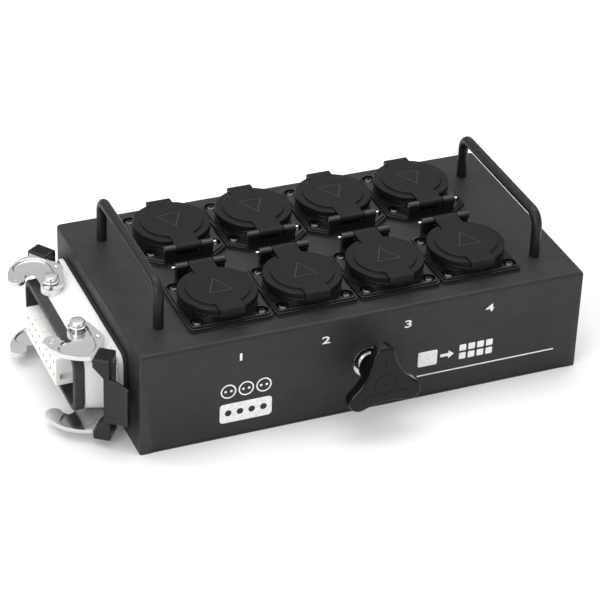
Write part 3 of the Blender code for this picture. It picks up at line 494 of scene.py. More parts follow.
FINISHES = {
    "powder_coat": powder_coat(),
    "rod_coat": rod_coat(),
    "socket_plastic": moulded(
        "socket_plastic", grey(0.004), grey(0.006), 0.20, 0.30, 1400, 0.00002
    ).material,
    "lid_plastic": moulded(
        "lid_plastic", grey(0.004), grey(0.006), 0.34, 0.44, 1100, 0.00003, 0.18
    ).material,
    # The mark's plastic is a lighter copy of the lid plastic: a painted highlight on the raised lines.
    "lid_mark_painted_highlight": moulded("lid_mark_painted_highlight", grey(0.010), grey(0.018), 0.36, 0.5, 1100, 0.00002).material,
    "black_steel": metal("black_steel", (0.10, 0.10, 0.10, 1), 0.18, 0.34, EVEN_SCRATCHES).material,
    "grip_plastic": moulded(
        "grip_plastic", grey(0.004), grey(0.008), 0.24, 0.36, 1000, 0.00003, 0.35
    ).material,
    "insert_plastic": moulded(
        "insert_plastic", (0.80, 0.79, 0.76, 1), (0.86, 0.85, 0.82, 1), 0.38, 0.5, 900, 0.00002
    ).material,
    # The insert's base is near black: painted shade of the deep cavity around the island.
    "insert_base_painted_shade": moulded("insert_base_painted_shade", grey(0.012), grey(0.02), 0.4, 0.5, 1200, 0.00002).material,
    "gasket_rubber": moulded("gasket_rubber", grey(0.008), grey(0.014), 0.62, 0.8, 700, 0.00004).material,
    "seal_rubber": moulded("seal_rubber", grey(0.014), grey(0.022), 0.5, 0.66, 800, 0.00004).material,
    "knob_plastic": knob_plastic(),
    "bright_steel": metal(
        "bright_steel", (0.78, 0.78, 0.77, 1), 0.12, 0.24, EVEN_SCRATCHES, 0.000004
    ).material,
    "lever_steel": metal(
        "lever_steel", (0.76, 0.75, 0.745, 1), 0.14, 0.26, (120, 300, 300), 0.000003
    ).material,
    "brass": metal("brass", (0.74, 0.56, 0.26, 1), 0.25, 0.42, EVEN_SCRATCHES).material,
    "die_cast": die_cast(),
    "wire_jacket": wire_jacket(),
    "white_ink": ink(),
}

for node_name, node_finish in {
    "base_plate": "powder_coat",
    "inlet_flange_gasket": "gasket_rubber",
    "wiring_loom": "wire_jacket",
    "earth_stud": "bright_steel",
    "knob_nut": "brass",
    **{f"socket_gasket_{number}": "gasket_rubber" for number in range(1, 9)},
}.items():
    for material_slot in frame["nodes"][node_name].material_slots:
        material_slot.material = FINISHES[node_finish]


# Frames, from the record's joints and the CAD boxes.


def joint_place(name):
    return Matrix.Translation(JOINTS[name]["pos_m"])


COVER_LOW, COVER_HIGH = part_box("enclosure_cover")
SEAL_LOW, SEAL_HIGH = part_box("inlet_rim_seal")
HINGE_Y, HINGE_Z = 28.5, 9.7
HINGE_IN_SOCKET = Vector((0, HINGE_Y, HINGE_Z)) * MM
SOCKETS = {}
for socket_number in range(1, 9):
    hinge = JOINTS[f"lid_{socket_number}_hinge"]
    half_turn = Matrix.Rotation(0 if hinge["axis"][0] < 0 else math.pi, 4, "Z")
    SOCKETS[socket_number] = (
        Matrix.Translation(hinge["pos_m"]) @ half_turn @ Matrix.Translation(-HINGE_IN_SOCKET)
    )
INLET_TURN = Matrix(((0, 0, -1, 0), (-1, 0, 0, 0), (0, 1, 0, 0), (0, 0, 0, 1)))
INLET_AT = (COVER_LOW.x, (SEAL_LOW.y + SEAL_HIGH.y) / 2, (SEAL_LOW.z + SEAL_HIGH.z) / 2)
INLET = Matrix.Translation(INLET_AT) @ INLET_TURN
LEVERS = {
    "back": joint_place("back_lever_pivot"),
    "front": joint_place("front_lever_pivot") @ Matrix.Rotation(math.pi, 4, "X"),
}
CLAMP = joint_place("knob_turn") @ Matrix.Rotation(math.pi / 2, 4, "X")
HEIGHT = COVER_HIGH.z / MM
HALF_X = COVER_HIGH.x / MM
HALF_Y = COVER_HIGH.y / MM

# Sizes that more than one piece uses, in millimetres.

SHEET = 1.5
HANDLE_FOOT = 49.3  # from the middle of the box to each foot
HANDLE_RISE = 26.8  # from the top face to the middle of the bar
SOCKET_SCREW = 19  # from the socket's middle to a screw, along X and along Y
SOCKET_CONTACT = 9.5  # from the socket's middle to a contact
LID_BORE = 1.4
FLANGE_SCREW_X, FLANGE_SCREW_Y = 51.5, 16
PIVOT_OUT = 18.4  # from the left end to the line of the lever pivots


def middle_mm(node):
    low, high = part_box(node)
    return (low + high) / 2 / MM


# Enclosure.


def make_cover():
    bend = 2.2
    rings = [flat(rounded_rectangle((2 * HALF_X, 2 * HALF_Y), 1.2, 4), 0)]
    for step in range(7):
        angle = math.radians(15 * step)
        inset = bend * (1 - math.cos(angle))
        outline = rounded_rectangle((2 * (HALF_X - inset), 2 * (HALF_Y - inset)), 1.2, 4)
        rings.append(flat(outline, HEIGHT - bend + bend * math.sin(angle)))
    cover = loft(rings)
    cut(cover, box((SHEET - HALF_X, SHEET - HALF_Y, -1), (HALF_X - SHEET, HALF_Y - SHEET, HEIGHT - SHEET)))
    cut(cover, box((-127, -HALF_Y - 5, -1), (127, HALF_Y + 5, 1.8)))
    tools = []
    for place in SOCKETS.values():
        spot = place.translation / MM
        tools.append(cylinder(21.9, HEIGHT - 3, HEIGHT + 1, (spot.x, spot.y), 64))
    for side in ("left", "right"):
        spot = middle_mm(f"handle_{side}")
        for y in (-HANDLE_FOOT, HANDLE_FOOT):
            tools.append(cylinder(2.45, HEIGHT - 3, HEIGHT + 1, (spot.x, y), 16))
    inlet = TO_METRES.inverted() @ INLET @ TO_METRES
    clamp = TO_METRES.inverted() @ CLAMP @ TO_METRES
    tools.append(moved(prism(rounded_rectangle((77, 29), 1, 2), -2.5, 1), inlet))
    for y in (-FLANGE_SCREW_Y, FLANGE_SCREW_Y):
        for x in (-FLANGE_SCREW_X, FLANGE_SCREW_X):
            tools.append(moved(cylinder(2.5, -2.5, 1, (x, y), 16), inlet))
    tools.append(moved(cylinder(4.4, -2.5, 1, (0, 0), 24), clamp))
    for y in (-HALF_Y + 1.75, HALF_Y - 1.75):
        for x in (-HALF_X, HALF_X):
            tools.append(box((x - 0.25, y - 0.12, -1), (x + 0.25, y + 0.12, HEIGHT - bend - 0.3)))
    cut(cover, together(*tools))
    mesh = finished(cover, "powder_coat", 30)
    piece(mesh, "cover_shell", "box", stands_for=["enclosure_cover"])


def make_handles():
    top = HEIGHT + HANDLE_RISE
    bend = 7.5
    foot = HANDLE_FOOT
    shoulder = foot - bend
    path = [(0, -foot, HEIGHT), (0, -foot, HEIGHT + 6)]
    path += [(0, y, z) for y, z in arc((-shoulder, top - bend), bend, 180, 90, 12)]
    path += [(0, 0, top)]
    path += [(0, y, z) for y, z in arc((shoulder, top - bend), bend, 90, 0, 12)]
    path += [(0, foot, HEIGHT + 6), (0, foot, HEIGHT)]
    rod = tube(path, 3.0, 32)
    parts = []
    for y in (-foot, foot):
        thread = threaded(2.0, 0.3, 0.7, HEIGHT - 8, HEIGHT + 0.5, 20)
        parts.append(moved(thread, Matrix.Translation((0, y, 0))))
        nut = softened(cylinder(4.0, HEIGHT - 5, HEIGHT - 1.8, (0, y), 6), 0.3)
        parts.append(nut)
    mesh = finished(together(rod, *parts), "rod_coat")
    for side in ("left", "right"):
        node = f"handle_{side}"
        place = Matrix.Translation((middle_mm(node).x * MM, 0, 0))
        piece(mesh, f"bar_{node}", "box", place, [node])


# Sockets and flaps.


def flange_outline(inset, corner=3.0):
    half = 24.8 - inset
    shoulder = 23.5 - inset * 0.4
    points = arc((-half + corner, -half + corner), corner, 180, 270, 5)
    points += arc((half - corner, -half + corner), corner, 270, 360, 5)
    points += [(half, shoulder), (15.2 - inset * 0.3, 31 - inset)]
    points += [(-15.2 + inset * 0.3, 31 - inset), (-half, shoulder)]
    return points


def socket_mesh():
    cup = turned(
        [
            (0, -14.1), (19.2, -14.1), (19.8, -13.9), (20, -13.3), (20, 5.7), (20.15, 6.05), (20.5, 6.2),
            (21.3, 6.2), (21.65, 6.05), (21.8, 5.7), (21.8, 1.8), (21.3, 1.5), (21.3, -32), (0, -32),
        ],
        64,
    )
    flange = softened(prism(flange_outline(0), 1.5, 2.5), 0.25)
    join(flange, softened(prism(flange_outline(1.3, 2.4), 2.0, 3.4), 0.3))
    cut(flange, cylinder(21.0, 0, 5, steps=64))
    recesses = []
    for x in (-SOCKET_SCREW, SOCKET_SCREW):
        for y in (-SOCKET_SCREW, SOCKET_SCREW):
            recesses.append(cylinder(4.1, 1.9, 5, (x, y), 32))
    cut(flange, together(*recesses))
    block = softened(box((-14.6, 26.9, 1.9), (14.6, 30.5, 9.7)), 0.3)
    cut(block, box((-7.6, 20, 6.6), (7.6, 35, 12)))
    for side in (-1, 1):
        low, high = span(side, 7.6, 14.9)
        join(block, softened(cylinder(2.5, low, high, (HINGE_Y, HINGE_Z), 32, "X"), 0.3, 2, 60))
    cut(block, cylinder(LID_BORE, -20, 20, (HINGE_Y, HINGE_Z), 16, "X"))
    holes = [cylinder(2.6, -26, -10, (x, 0), 24) for x in (-SOCKET_CONTACT, SOCKET_CONTACT)]
    cut(cup, together(*holes))
    join(cup, flange)
    join(cup, block)
    return finished(cup, "socket_plastic", 32)


def cross_screw(radius, height):
    """A pan head with a cross recess, its underside at z 0."""
    head = turned(
        [
            (0, height), (radius * 0.45, height * 0.97), (radius * 0.75, height * 0.82),
            (radius * 0.93, height * 0.5), (radius, 0.15), (radius, 0), (0, 0),
        ],
        28,
    )
    arm = radius * 0.58
    width = radius * 0.14
    cut(head, box((-arm, -width, height * 0.45), (arm, width, height * 2)))
    cut(head, box((-width, -arm, height * 0.45), (width, arm, height * 2)))
    return head


def socket_screws_mesh():
    heads = []
    corners = ((-1, -1), (1, -1), (1, 1), (-1, 1))
    for index, (x, y) in enumerate(corners):
        turn = Matrix.Rotation(math.radians(20 + 37 * index), 4, "Z")
        shank = cylinder(1.5, -6, 2.0, (0, 0), 16)
        screw = together(moved(cross_screw(3.0, 1.6), Matrix.Translation((0, 0, 1.9))), shank)
        spot = Matrix.Translation((x * SOCKET_SCREW, y * SOCKET_SCREW, 0))
        heads.append(moved(screw, spot @ turn))
    return finished(together(*heads), "black_steel")


def socket_contacts_mesh():
    parts = []
    for x in (-SOCKET_CONTACT, SOCKET_CONTACT):
        sleeve = turned([(2.4, -14.6), (2.4, -25.8), (1.9, -25.8), (1.9, -14.6)], 24, closed=True)
        parts.append(moved(sleeve, Matrix.Translation((x, 0, 0))))
    for side in (-1, 1):
        strip = [(18.9, -14), (18.9, -3), (19.6, -1.5), (19.9, -1.8), (19.3, -3.2), (19.4, -14)]
        clip = side_prism([(side * y, z) for y, z in strip], -2.5, 2.5)
        parts.append(softened(clip, 0.1))
    return finished(together(*parts), "brass")


def lid_mesh():
    lid = turned(
        [
            (0, 11.6), (17.3, 11.6), (17.8, 11.5), (18.1, 11.25), (18.2, 10.9), (18.3, 10.5), (18.6, 10.4),
            (21.9, 10.4), (22.4, 10.25), (22.65, 9.9), (22.7, 9.5), (22.7, 6.8), (22.55, 6.6), (21.05, 6.6),
            (20.9, 6.8), (20.9, 8.0), (20.7, 8.2), (0, 8.2),
        ],
        72,
    )
    arm = [(15.2, 11.4), (15.2, 8.6)]
    arm += arc((HINGE_Y, HINGE_Z), 2.5, 180 + 26.1, 540 - 42.8, 18)
    join(lid, softened(side_prism(arm, -7.3, 7.3), 0.3))
    tab = [(-15.2, 11.4), (-23.7, 11.4), (-24.1, 11.2), (-24.3, 10.8)]
    tab += [(-24.3, 6.9), (-21.2, 6.9), (-21.2, 9.3), (-15.2, 9.3)]
    join(lid, softened(side_prism(tab, -7.4, 7.4), 0.3))
    cut(lid, cylinder(LID_BORE, -20, 20, (HINGE_Y, HINGE_Z), 16, "X"))
    return finished(lid, "lid_plastic", 32)


def triangle_mark():
    """A plain raised triangle, only an outline."""
    def corners(scale):
        middle = Vector((0, -1.2))
        return [middle + (Vector(corner) - middle) * scale for corner in ((0, 8.5), (-7.2, -6), (7.2, -6))]

    outer = corners(1.0)
    inner = corners(0.88)
    verts = []
    for z in (11.5, 11.74):
        verts += [(*point, z) for point in outer] + [(*point, z) for point in inner]
    faces = []
    for i in range(3):
        k = (i + 1) % 3
        faces += [
            (i, k, k + 6, i + 6),
            (i + 3, k + 3, k + 9, i + 9),
            (i + 6, k + 6, k + 9, i + 9),
            (i, k, k + 3, i + 3),
        ]
    return finished(raw(verts, faces), "lid_mark_painted_highlight", 30)


def make_sockets():
    socket = socket_mesh()
    screws = socket_screws_mesh()
    contacts = socket_contacts_mesh()
    lid = lid_mesh()
    mark = triangle_mark()
    seal = finished(
        turned([(20.6, 8.15), (20.6, 6.9), (20.2, 6.6), (19.4, 6.6), (19.0, 6.9), (19.0, 8.15)], 64, True),
        "seal_rubber",
    )
    pin = turned([(0, 14.8), (0.7, 14.8), (1.0, 14.5), (1.0, -16.7), (0.7, -17), (0, -17)], 20)
    hinge_line = Matrix.Translation((0, HINGE_Y, HINGE_Z)) @ Matrix.Rotation(math.pi / 2, 4, "Y")
    pin = finished(moved(pin, hinge_line), "bright_steel")
    for number, place in SOCKETS.items():
        piece(socket, f"socket_body_{number}", "box", place, [f"socket_{number}"])
        piece(screws, f"socket_screws_{number}", "box", place)
        piece(contacts, f"socket_contacts_{number}", "box", place)
        piece(pin, f"hinge_pin_{number}", "box", place, [f"lid_pin_{number}"])
        body = f"lid_{number}"
        piece(lid, f"flap_{number}", body, place, [f"socket_lid_{number}"])
        piece(mark, f"flap_mark_{number}", body, place)
        piece(seal, f"flap_seal_{number}", body, place)


# Inlet, in its own frame: X to the front of the box, Y up, Z out of the left end.

PIVOT_SPOTS = (-24.75, 24.75)
FLANGE_SCREWS = [
    (x, y) for x in (-FLANGE_SCREW_X, FLANGE_SCREW_X) for y in (-FLANGE_SCREW_Y, FLANGE_SCREW_Y)
]


def housing_mesh():
    housing = softened(prism(rounded_rectangle((113.5, 43), 6, 6), 2.3, 5.3), 0.5)
    rings = []
    for share, out in ((0, 4.3), (0.06, 5.3), (0.12, 6.0), (1, 21.5)):
        size = (96 - 3 * share, 42.4 - 6.0 * share)
        rings.append(flat(rounded_rectangle(size, 8.5, 8), out))
    join(housing, softened(loft(rings), 0.5, 2, 60))
    for side in (-1, 1):
        for x in PIVOT_SPOTS:
            low, high = span(side, 17.0, 22.6)
            boss = softened(cylinder(5.8, low, high, (x, PIVOT_OUT), 40, "Y"), 0.3)
            join(housing, boss)
    cut(housing, box((-60, -18.95, 21.5), (60, 18.95, 30)))
    cut(housing, prism(rounded_rectangle((86.6, 30), 5.5, 8), 0, 23))
    for side in (-1, 1):
        for x in PIVOT_SPOTS:
            low, high = span(side, 18.8, 24)
            cut(housing, cylinder(3.4, low, high, (x, PIVOT_OUT), 28, "Y"))
    for x, y in FLANGE_SCREWS:
        sink = turned([(0, 7), (4.05, 7), (4.05, 4.7), (2.35, 3.0), (2.35, 1), (0, 1)], 28)
        cut(housing, moved(sink, Matrix.Translation((x, y, 0))))
    return finished(housing, "die_cast", 35)


def seal_mesh():
    rings = []
    for inset, out in ((0, 21.8), (0, 26.6), (0.3, 27.2), (0.9, 27.5)):
        rings.append((rounded_rectangle((94 - 2 * inset, 37.4 - 2 * inset), 8.5 - inset, 8), out))
    seal = loft([flat(outline, out) for outline, out in rings])
    cut(seal, prism(rounded_rectangle((87.4, 30.8), 5.5, 8), 20, 30))
    for side in (-1, 1):
        low, high = span(side, 15.2, 18.76)
        together(seal, softened(box((2.0, low, 22), (2.5, high, 27.56)), 0.1))
    return finished(seal, "seal_rubber", 35)


# A black rubber sheet down the cavity walls: partly the seal's real black rubber, partly painted shade of
# the deep cavity.
def lining_mesh():
    lining = prism(rounded_rectangle((86.3, 29.7), 5.3, 8), 12.2, 22.6)
    cut(lining, prism(rounded_rectangle((84.9, 28.3), 4.6, 8), 10, 30))
    return finished(lining, "seal_rubber", 35)


def contact_spots():
    return [((column - 3.5) * 6.8, y) for column in range(8) for y in (-4.1, 4.1)]


def island_mesh():
    island = softened(prism(rounded_rectangle((58, 18), 1.2, 3), 11, 32.7), 0.35)
    holes = []
    for spot in contact_spots():
        holes.append(cylinder(1.25, 22.7, 35, spot, 20))
        holes.append(prism(rounded_rectangle((4.2, 5.0), 0.6, 2, spot), 32.35, 35))
    for side in (-1, 1):
        low, high = span(side, 26, 31)
        holes.append(box((low, -5, 13), (high, -1, 30.4)))
        for x in (-13.6, 0, 13.6):
            low, high = span(side, 8.6, 10)
            holes.append(box((x - 0.3, low, 12), (x + 0.3, high, 32.2)))
        low, high = span(side, 8.75, 10)
        holes.append(box((-40, low, 27.0), (40, high, 27.5)))
    for hole in holes:
        cut(island, hole)
    return finished(island, "insert_plastic", 35)


# Its near-black finish is painted shade of the deep cavity, not the insert's own colour.
def insert_base_mesh():
    base = softened(prism(rounded_rectangle((86, 29.4), 5.4, 8), 6, 12), 0.4)
    join(base, box((-37, -13, -18), (37, 13, 7)))
    return finished(base, "insert_base_painted_shade", 35)


def insert_metal_mesh():
    parts = []
    for x, y in contact_spots():
        sleeve = turned([(1.2, 32.2), (1.2, 23.2), (0.8, 23.2), (0.8, 32.2)], 20, closed=True)
        parts.append(moved(sleeve, Matrix.Translation((x, y, 0))))
    return finished(together(*parts), "bright_steel")


def earth_plates_mesh():
    parts = []
    for side in (-1, 1):
        low, high = span(side, 31.5, 41.2)
        plate = softened(box((low, -9.5, 12.2), (high, 9.5, 13.4)), 0.3)
        screw = moved(cross_screw(2.7, 1.6), Matrix.Translation((side * 37.2, 4.0, 13.4)))
        low, high = span(side, 31.7, 32.7)
        tongue = softened(box((low, -5.5, 13.2), (high, 5.5, 24)), 0.25)
        parts += [plate, screw, tongue]
    return finished(together(*parts), "bright_steel")


def sunk_screw_mesh():
    screw = turned([(0, 5.15), (3.3, 5.15), (3.6, 4.95), (3.6, 4.7), (1.9, 3.0), (1.9, -6), (0, -6)], 32)
    cut(screw, box((-2.1, -0.45, 4.2), (2.1, 0.45, 6)))
    cut(screw, box((-0.45, -2.1, 4.2), (0.45, 2.1, 6)))
    return finished(screw, "bright_steel", 35)


def make_inlet():
    piece(housing_mesh(), "inlet_shell", "box", INLET, ["inlet_housing"])
    piece(seal_mesh(), "inlet_lip_seal", "box", INLET, ["inlet_rim_seal"])
    piece(lining_mesh(), "inlet_shade_lining", "box", INLET)
    piece(island_mesh(), "inlet_island", "box", INLET, ["inlet_insert"])
    piece(insert_base_mesh(), "inlet_insert_base", "box", INLET)
    piece(insert_metal_mesh(), "inlet_sleeves", "box", INLET)
    piece(earth_plates_mesh(), "inlet_earth_plates", "box", INLET)
    screw = sunk_screw_mesh()
    for number, (x, y) in enumerate(FLANGE_SCREWS, 1):
        place = INLET @ Matrix.Translation((x * MM, y * MM, 0)) @ Matrix.Rotation(0.6 * number, 4, "Z")
        piece(screw, f"flange_screw_{number}", "box", place, [f"inlet_screw_{number}"])


# Locking levers, in the frame of the pivots: X along the box, Y away from the inlet's middle.

ALONG = Vector((-0.58, 0.815)).normalized()
OUT = Vector((ALONG.y, -ALONG.x))
GRIP_CORNER = Vector((4.4, 24.7))


def lever_outline():
    seat = GRIP_CORNER - OUT * 0.1
    middle = seat + ALONG * 6.55
    reach = OUT * 5.5
    points = arc((1.5, 8.0), 23.6, 172, 100, 20)
    points += [seat + ALONG * 11.8, middle + ALONG * 4.5, middle + ALONG * 4.5 + reach]
    points += [middle - ALONG * 4.5 + reach, middle - ALONG * 4.5, seat - ALONG * 3.0]
    points += [(9.0, 19.4), (10.3, 16.8), (10.8, 14.0), (10.5, 11.0), (9.4, 6.0)]
    points += arc((0.9, 0.6), 6.7, -12, -180, 28)
    points += arc((-9.3, 8.6), 3.5, 0, 180, 24)
    points += arc((-17.4, 9.2), 4.85, -8, -188, 24)
    return [tuple(point) for point in points]


def pocket_outline(spread):
    """The stamped hollow: it runs out at the peg notch and around the pivot, inside a raised rim."""
    corners = [
        (-12.9, 12.6), (-14.9, 15.0), (-16.4, 17.6), (-16.3, 20.4), (-14.8, 23.2), (-12.0, 25.6),
        (-8.4, 27.2), (-4.4, 27.5), (-0.6, 26.4), (2.2, 24.0), (4.0, 20.6), (4.7, 16.0),
        (4.9, 10.0), (5.0, 4.0), (4.5, -1.0), (2.6, -3.6), (0.0, -4.6), (-3.0, -4.0),
        (-5.0, -3.0), (-8.0, -2.0), (-8.0, 9.0), (-9.6, 11.0),
    ]
    middle = Vector((-3.6, 13.0))
    points = []
    for index in range(len(corners)):
        before, here, after, beyond = (Vector(corners[(index + k) % len(corners)]) for k in (-1, 0, 1, 2))
        for step in range(3):
            t = step / 3
            point = 0.5 * (
                2 * here
                + (after - before) * t
                + (2 * before - 5 * here + 4 * after - beyond) * t * t
                + (3 * here - before - 3 * after + beyond) * t * t * t
            )
            points.append(tuple(point + (point - middle).normalized() * spread))
    return points


def lever_plate_mesh(side):
    plate = softened(prism(lever_outline(), 22.9, 25.4), 0.6, 3, 30)
    upper_steps = (
        (-1.1, 24.15), (-0.7, 24.2), (-0.3, 24.45), (0.1, 25.1), (0.5, 25.36), (0.9, 25.45), (1.0, 27)
    )
    upper = loft([flat(pocket_outline(spread), z) for spread, z in upper_steps])
    lower_steps = ((1.0, 21), (0.9, 22.85), (0.4, 22.95), (-0.2, 23.4), (-0.8, 23.6))
    lower = loft([flat(pocket_outline(spread), z) for spread, z in lower_steps])
    dimple = turned([(0, 26), (1.9, 26), (1.5, 25.2), (0.8, 24.9), (0, 24.8)], 28)
    moved(dimple, Matrix.Translation((7.4, 13.6, 0)) @ Matrix.Diagonal((0.8, 1.4, 1, 1)))
    cut(plate, upper, lower, dimple, cylinder(3.4, 21, 27, (0, 0), 40))
    stamp = turned([(1.2, 25.3), (1.4, 25.55), (1.9, 25.55), (2.1, 25.3)], 28, closed=True)
    together(plate, moved(stamp, Matrix.Translation((-17.6, 9.6, 0))))
    if side < 0:
        moved(plate, Matrix.Scale(-1, 4, (0, 0, 1)))
    return finished(plate, "lever_steel", 32)


def grip_mesh():
    low_in = GRIP_CORNER
    high_in = low_in + ALONG * 13.1
    block = [low_in, low_in + OUT * 9.9, high_in + OUT * 9.9, high_in]
    grip = prism([tuple(point) for point in block], -26.3, 26.3)
    waist = [(-1, 22.2), (6.2, 14.7), (6.2, -14.7), (-1, -22.2)]
    place = Matrix(
        ((OUT.x, 0, -ALONG.x, low_in.x), (OUT.y, 0, -ALONG.y, low_in.y), (0, 1, 0, 0), (0, 0, 0, 1))
    )
    cut(grip, moved(prism(waist, -15, 2), place))
    softened(grip, 0.7, 3, 50)
    for index in range(7):
        spot = low_in + ALONG * (2.3 + index * 1.4) + OUT * 5.0
        turn = Matrix.Translation((spot.x, spot.y, 0)) @ Matrix.Rotation(math.atan2(OUT.y, OUT.x), 4, "Z")
        for low, high in ((25.7, 28), (-28, -25.7)):
            cut(grip, moved(box((-4.0, -0.32, low), (4.0, 0.32, high)), turn))
    direction = Vector((0.6, 0.8))
    corner = high_in + OUT * 9.9
    start = high_in + OUT * 6.4
    end = corner + direction * 11.65
    rings = []
    for step in range(15):
        t = step / 14
        face = start * (1 - t) ** 2 + corner * 2 * t * (1 - t) + end * t * t
        along = ((corner - start) * (1 - t) + (end - corner) * t).normalized()
        back = Vector((along.y, -along.x))
        half = 14.9 - 2.8 * t * t
        thick = 3.4 - 0.9 * t
        round_off = 0.9 if 0 < step < 14 else 1.2
        section = rounded_rectangle((thick, 2 * half), round_off, 3)
        rings.append([face.to_3d() + back.to_3d() * (thick / 2 + x) + Vector((0, 0, z)) for x, z in section])
    lip = loft(rings)
    step = start.to_3d() + Vector((0, 0, 9.6))
    groove = box((-1, -0.25, -0.16), (9.5, 0.25, 0.16))
    turn = Matrix.Rotation(math.radians(44), 4, "Z")
    cut(lip, moved(groove, Matrix.Translation(step) @ turn))
    return finished(together(grip, lip), "grip_plastic", 35)


def pivot_mesh(side):
    pivot = turned(
        [
            (0, 29.7), (3.1, 29.7), (3.9, 29.45), (4.3, 28.9), (4.3, 28.4), (4.1, 28.1),
            (3.7, 28.0), (3.7, 26.9), (4.1, 26.7), (4.6, 26.6), (4.8, 26.4), (4.8, 25.9),
            (4.6, 25.7), (3.0, 25.7), (3.0, 19.1), (0, 19.1),
        ],
        40,
    )
    if side < 0:
        moved(pivot, Matrix.Scale(-1, 4, (0, 0, 1)))
    return finished(pivot, "bright_steel", 35)


def make_levers():
    plates = {side: lever_plate_mesh(side) for side in (1, -1)}
    pivots = {side: pivot_mesh(side) for side in (1, -1)}
    grip = grip_mesh()
    for lever, place in LEVERS.items():
        way = 1 if lever == "back" else -1
        body = f"{lever}_lever"
        for side in (1, -1):
            level = "top" if side * way > 0 else "bottom"
            name = f"{lever}_hook_plate_{level}"
            piece(plates[side], name, body, place, [f"{body}_plate_{level}"])
            name = f"{lever}_pivot_{level}"
            piece(pivots[side], name, "box", place, [f"{body}_pivot_{level}"])
        piece(grip, f"{lever}_grip", body, place, [f"{body}_grip"])


# Clamp, in its own frame: X to the right, Y up, Z out of the front.

KNOB_REST_DEGREES = 93
THREAD_PITCH = 1.25


def knob_outline():
    lobe, waist, radius = 17.6, 12.6, 6.5
    half_angle = math.pi / 3
    across = 2 * lobe * math.cos(half_angle)
    flank = (lobe**2 + waist**2 - across * waist - radius**2) / (2 * radius - 2 * waist + across)
    reach = waist + flank
    centre = Vector((reach * math.cos(half_angle), reach * math.sin(half_angle)))
    to_flank = centre - Vector((lobe, 0))
    tangent = math.degrees(math.atan2(to_flank.y, to_flank.x))
    sector = arc((lobe, 0), radius, -tangent, tangent, 18)
    sector += arc(centre, flank, 180 + tangent, 180 + 2 * math.degrees(half_angle) - tangent, 12)[1:-1]
    points = []
    for i in range(3):
        turn = Matrix.Rotation(math.radians(KNOB_REST_DEGREES) + 2 * half_angle * i, 2)
        points += [turn @ Vector(point) for point in sector]
    return points


def inset_outline(points, inset):
    """Moves each point of a closed outline inwards by about inset."""
    count = len(points)
    moved_points = []
    for i, point in enumerate(points):
        along = (points[(i + 1) % count] - points[i - 1]).normalized()
        moved_points.append(point + Vector((-along.y, along.x)) * inset)
    return moved_points


def make_knob():
    outline = knob_outline()
    rings = []
    for inset, out in (
        (1.2, 18.3), (0.4, 18.5), (0.0, 19.1), (0.0, 23.6),
        (0.15, 24.4), (0.6, 25.1), (1.3, 25.45), (2.0, 25.5),
    ):
        rings.append(flat([tuple(point) for point in inset_outline(outline, inset)], out))
    knob = loft(rings)
    tools = []
    for lobe in range(3):
        turn = Matrix.Rotation(math.radians(KNOB_REST_DEGREES + 120 * lobe), 4, "Z")
        groove = softened(box((8.8, -0.22, 25.15), (16.0, 0.22, 27)), 0.15)
        tools.append(moved(groove, turn))
    tools.append(turned([(6.25, 25.2), (6.6, 25.2), (6.6, 27), (6.25, 27)], 56, closed=True))
    tools.append(turned([(0, 25.3), (0.5, 25.3), (0.5, 27), (0, 27)], 20))
    for tool in tools:
        cut(knob, tool)
    hub = turned(
        [(0, 6.5), (7.9, 6.5), (8.4, 7.0), (8.4, 14), (8.9, 16.5), (10.2, 18.2), (11.0, 18.9), (0, 18.9)], 56
    )
    join(knob, hub)
    bore = [(0, 22.2), (4.3, 22.2), (4.3, 20.3), (6.3, 20.3), (6.3, 6.8), (4.3, 6.8), (4.3, 5), (0, 5)]
    cut(knob, turned(bore, 40))
    piece(finished(knob, "knob_plastic", 35), "knob_body", "knob", CLAMP, ["clamp_knob"])


def make_clamp():
    make_knob()
    stud = threaded(3.9, 0.55, THREAD_PITCH, 3.9, 19.7)
    shank = cylinder(3.4, -2.5, 4.5, steps=32)
    head = softened(cylinder(7.5, -7.1, -1.8, steps=6), 0.4)
    mesh = finished(together(stud, shank, head), "bright_steel", 30)
    piece(mesh, "threaded_stud", "box", CLAMP, ["clamp_stud"])
    washer = turned(
        [
            (4.4, 3.8), (5.9, 3.8), (6.3, 3.5), (6.3, 2.5), (6.5, 2.3), (9.2, 2.3), (9.6, 2.1), (9.7, 1.7),
            (9.7, 0.6), (9.5, 0.3), (4.4, 0.3),
        ],
        64,
        closed=True,
    )
    mesh = finished(washer, "bright_steel", 40)
    piece(mesh, "flanged_washer", "box", CLAMP, ["clamp_washer"])


# Print on the front, a little proud of it. Outlines are in (x, z).

INK = 0.04
NUMERAL_XS = (-76, -25.5, 24.5, 75.4)
NUMERAL_Z = 50.2
NUMERAL_SIZE = 6.6
NUMERAL_WIDENING = 1.6


def on_front(x=0, z=0, widening=1):
    """The front's own frame from (x, z): X to the right, Y up, Z out of the box."""
    return Matrix(((widening, 0, 0, x), (0, 0, -1, -HALF_Y), (0, 1, 0, z), (0, 0, 0, 1)))


def printed(outlines):
    return together(*[moved(prism(outline, 0, INK), on_front()) for outline in outlines])


def printed_ring(x, z, outer, inner):
    ring = turned([(outer, 0), (outer, INK), (inner, INK), (inner, 0)], 40, closed=True)
    return moved(ring, on_front(x, z))


def numeral(text, x, z):
    curve = bpy.data.curves.new("numeral", "FONT")
    curve.body = text
    curve.size = NUMERAL_SIZE
    curve.offset = 0.12
    curve.align_x = "CENTER"
    obj = linked(curve, "numeral")
    graph = bpy.context.evaluated_depsgraph_get()
    mesh = bpy.data.meshes.new_from_object(obj.evaluated_get(graph))
    bpy.data.objects.remove(obj)
    solid = linked(mesh)
    work = bmesh.new()
    work.from_mesh(mesh)
    grown = bmesh.ops.extrude_face_region(work, geom=work.faces[:])
    up = [part for part in grown["geom"] if isinstance(part, bmesh.types.BMVert)]
    bmesh.ops.translate(work, verts=up, vec=(0, 0, INK))
    bmesh.ops.recalc_face_normals(work, faces=work.faces)
    work.to_mesh(mesh)
    work.free()
    return moved(solid, on_front(x, z, NUMERAL_WIDENING))


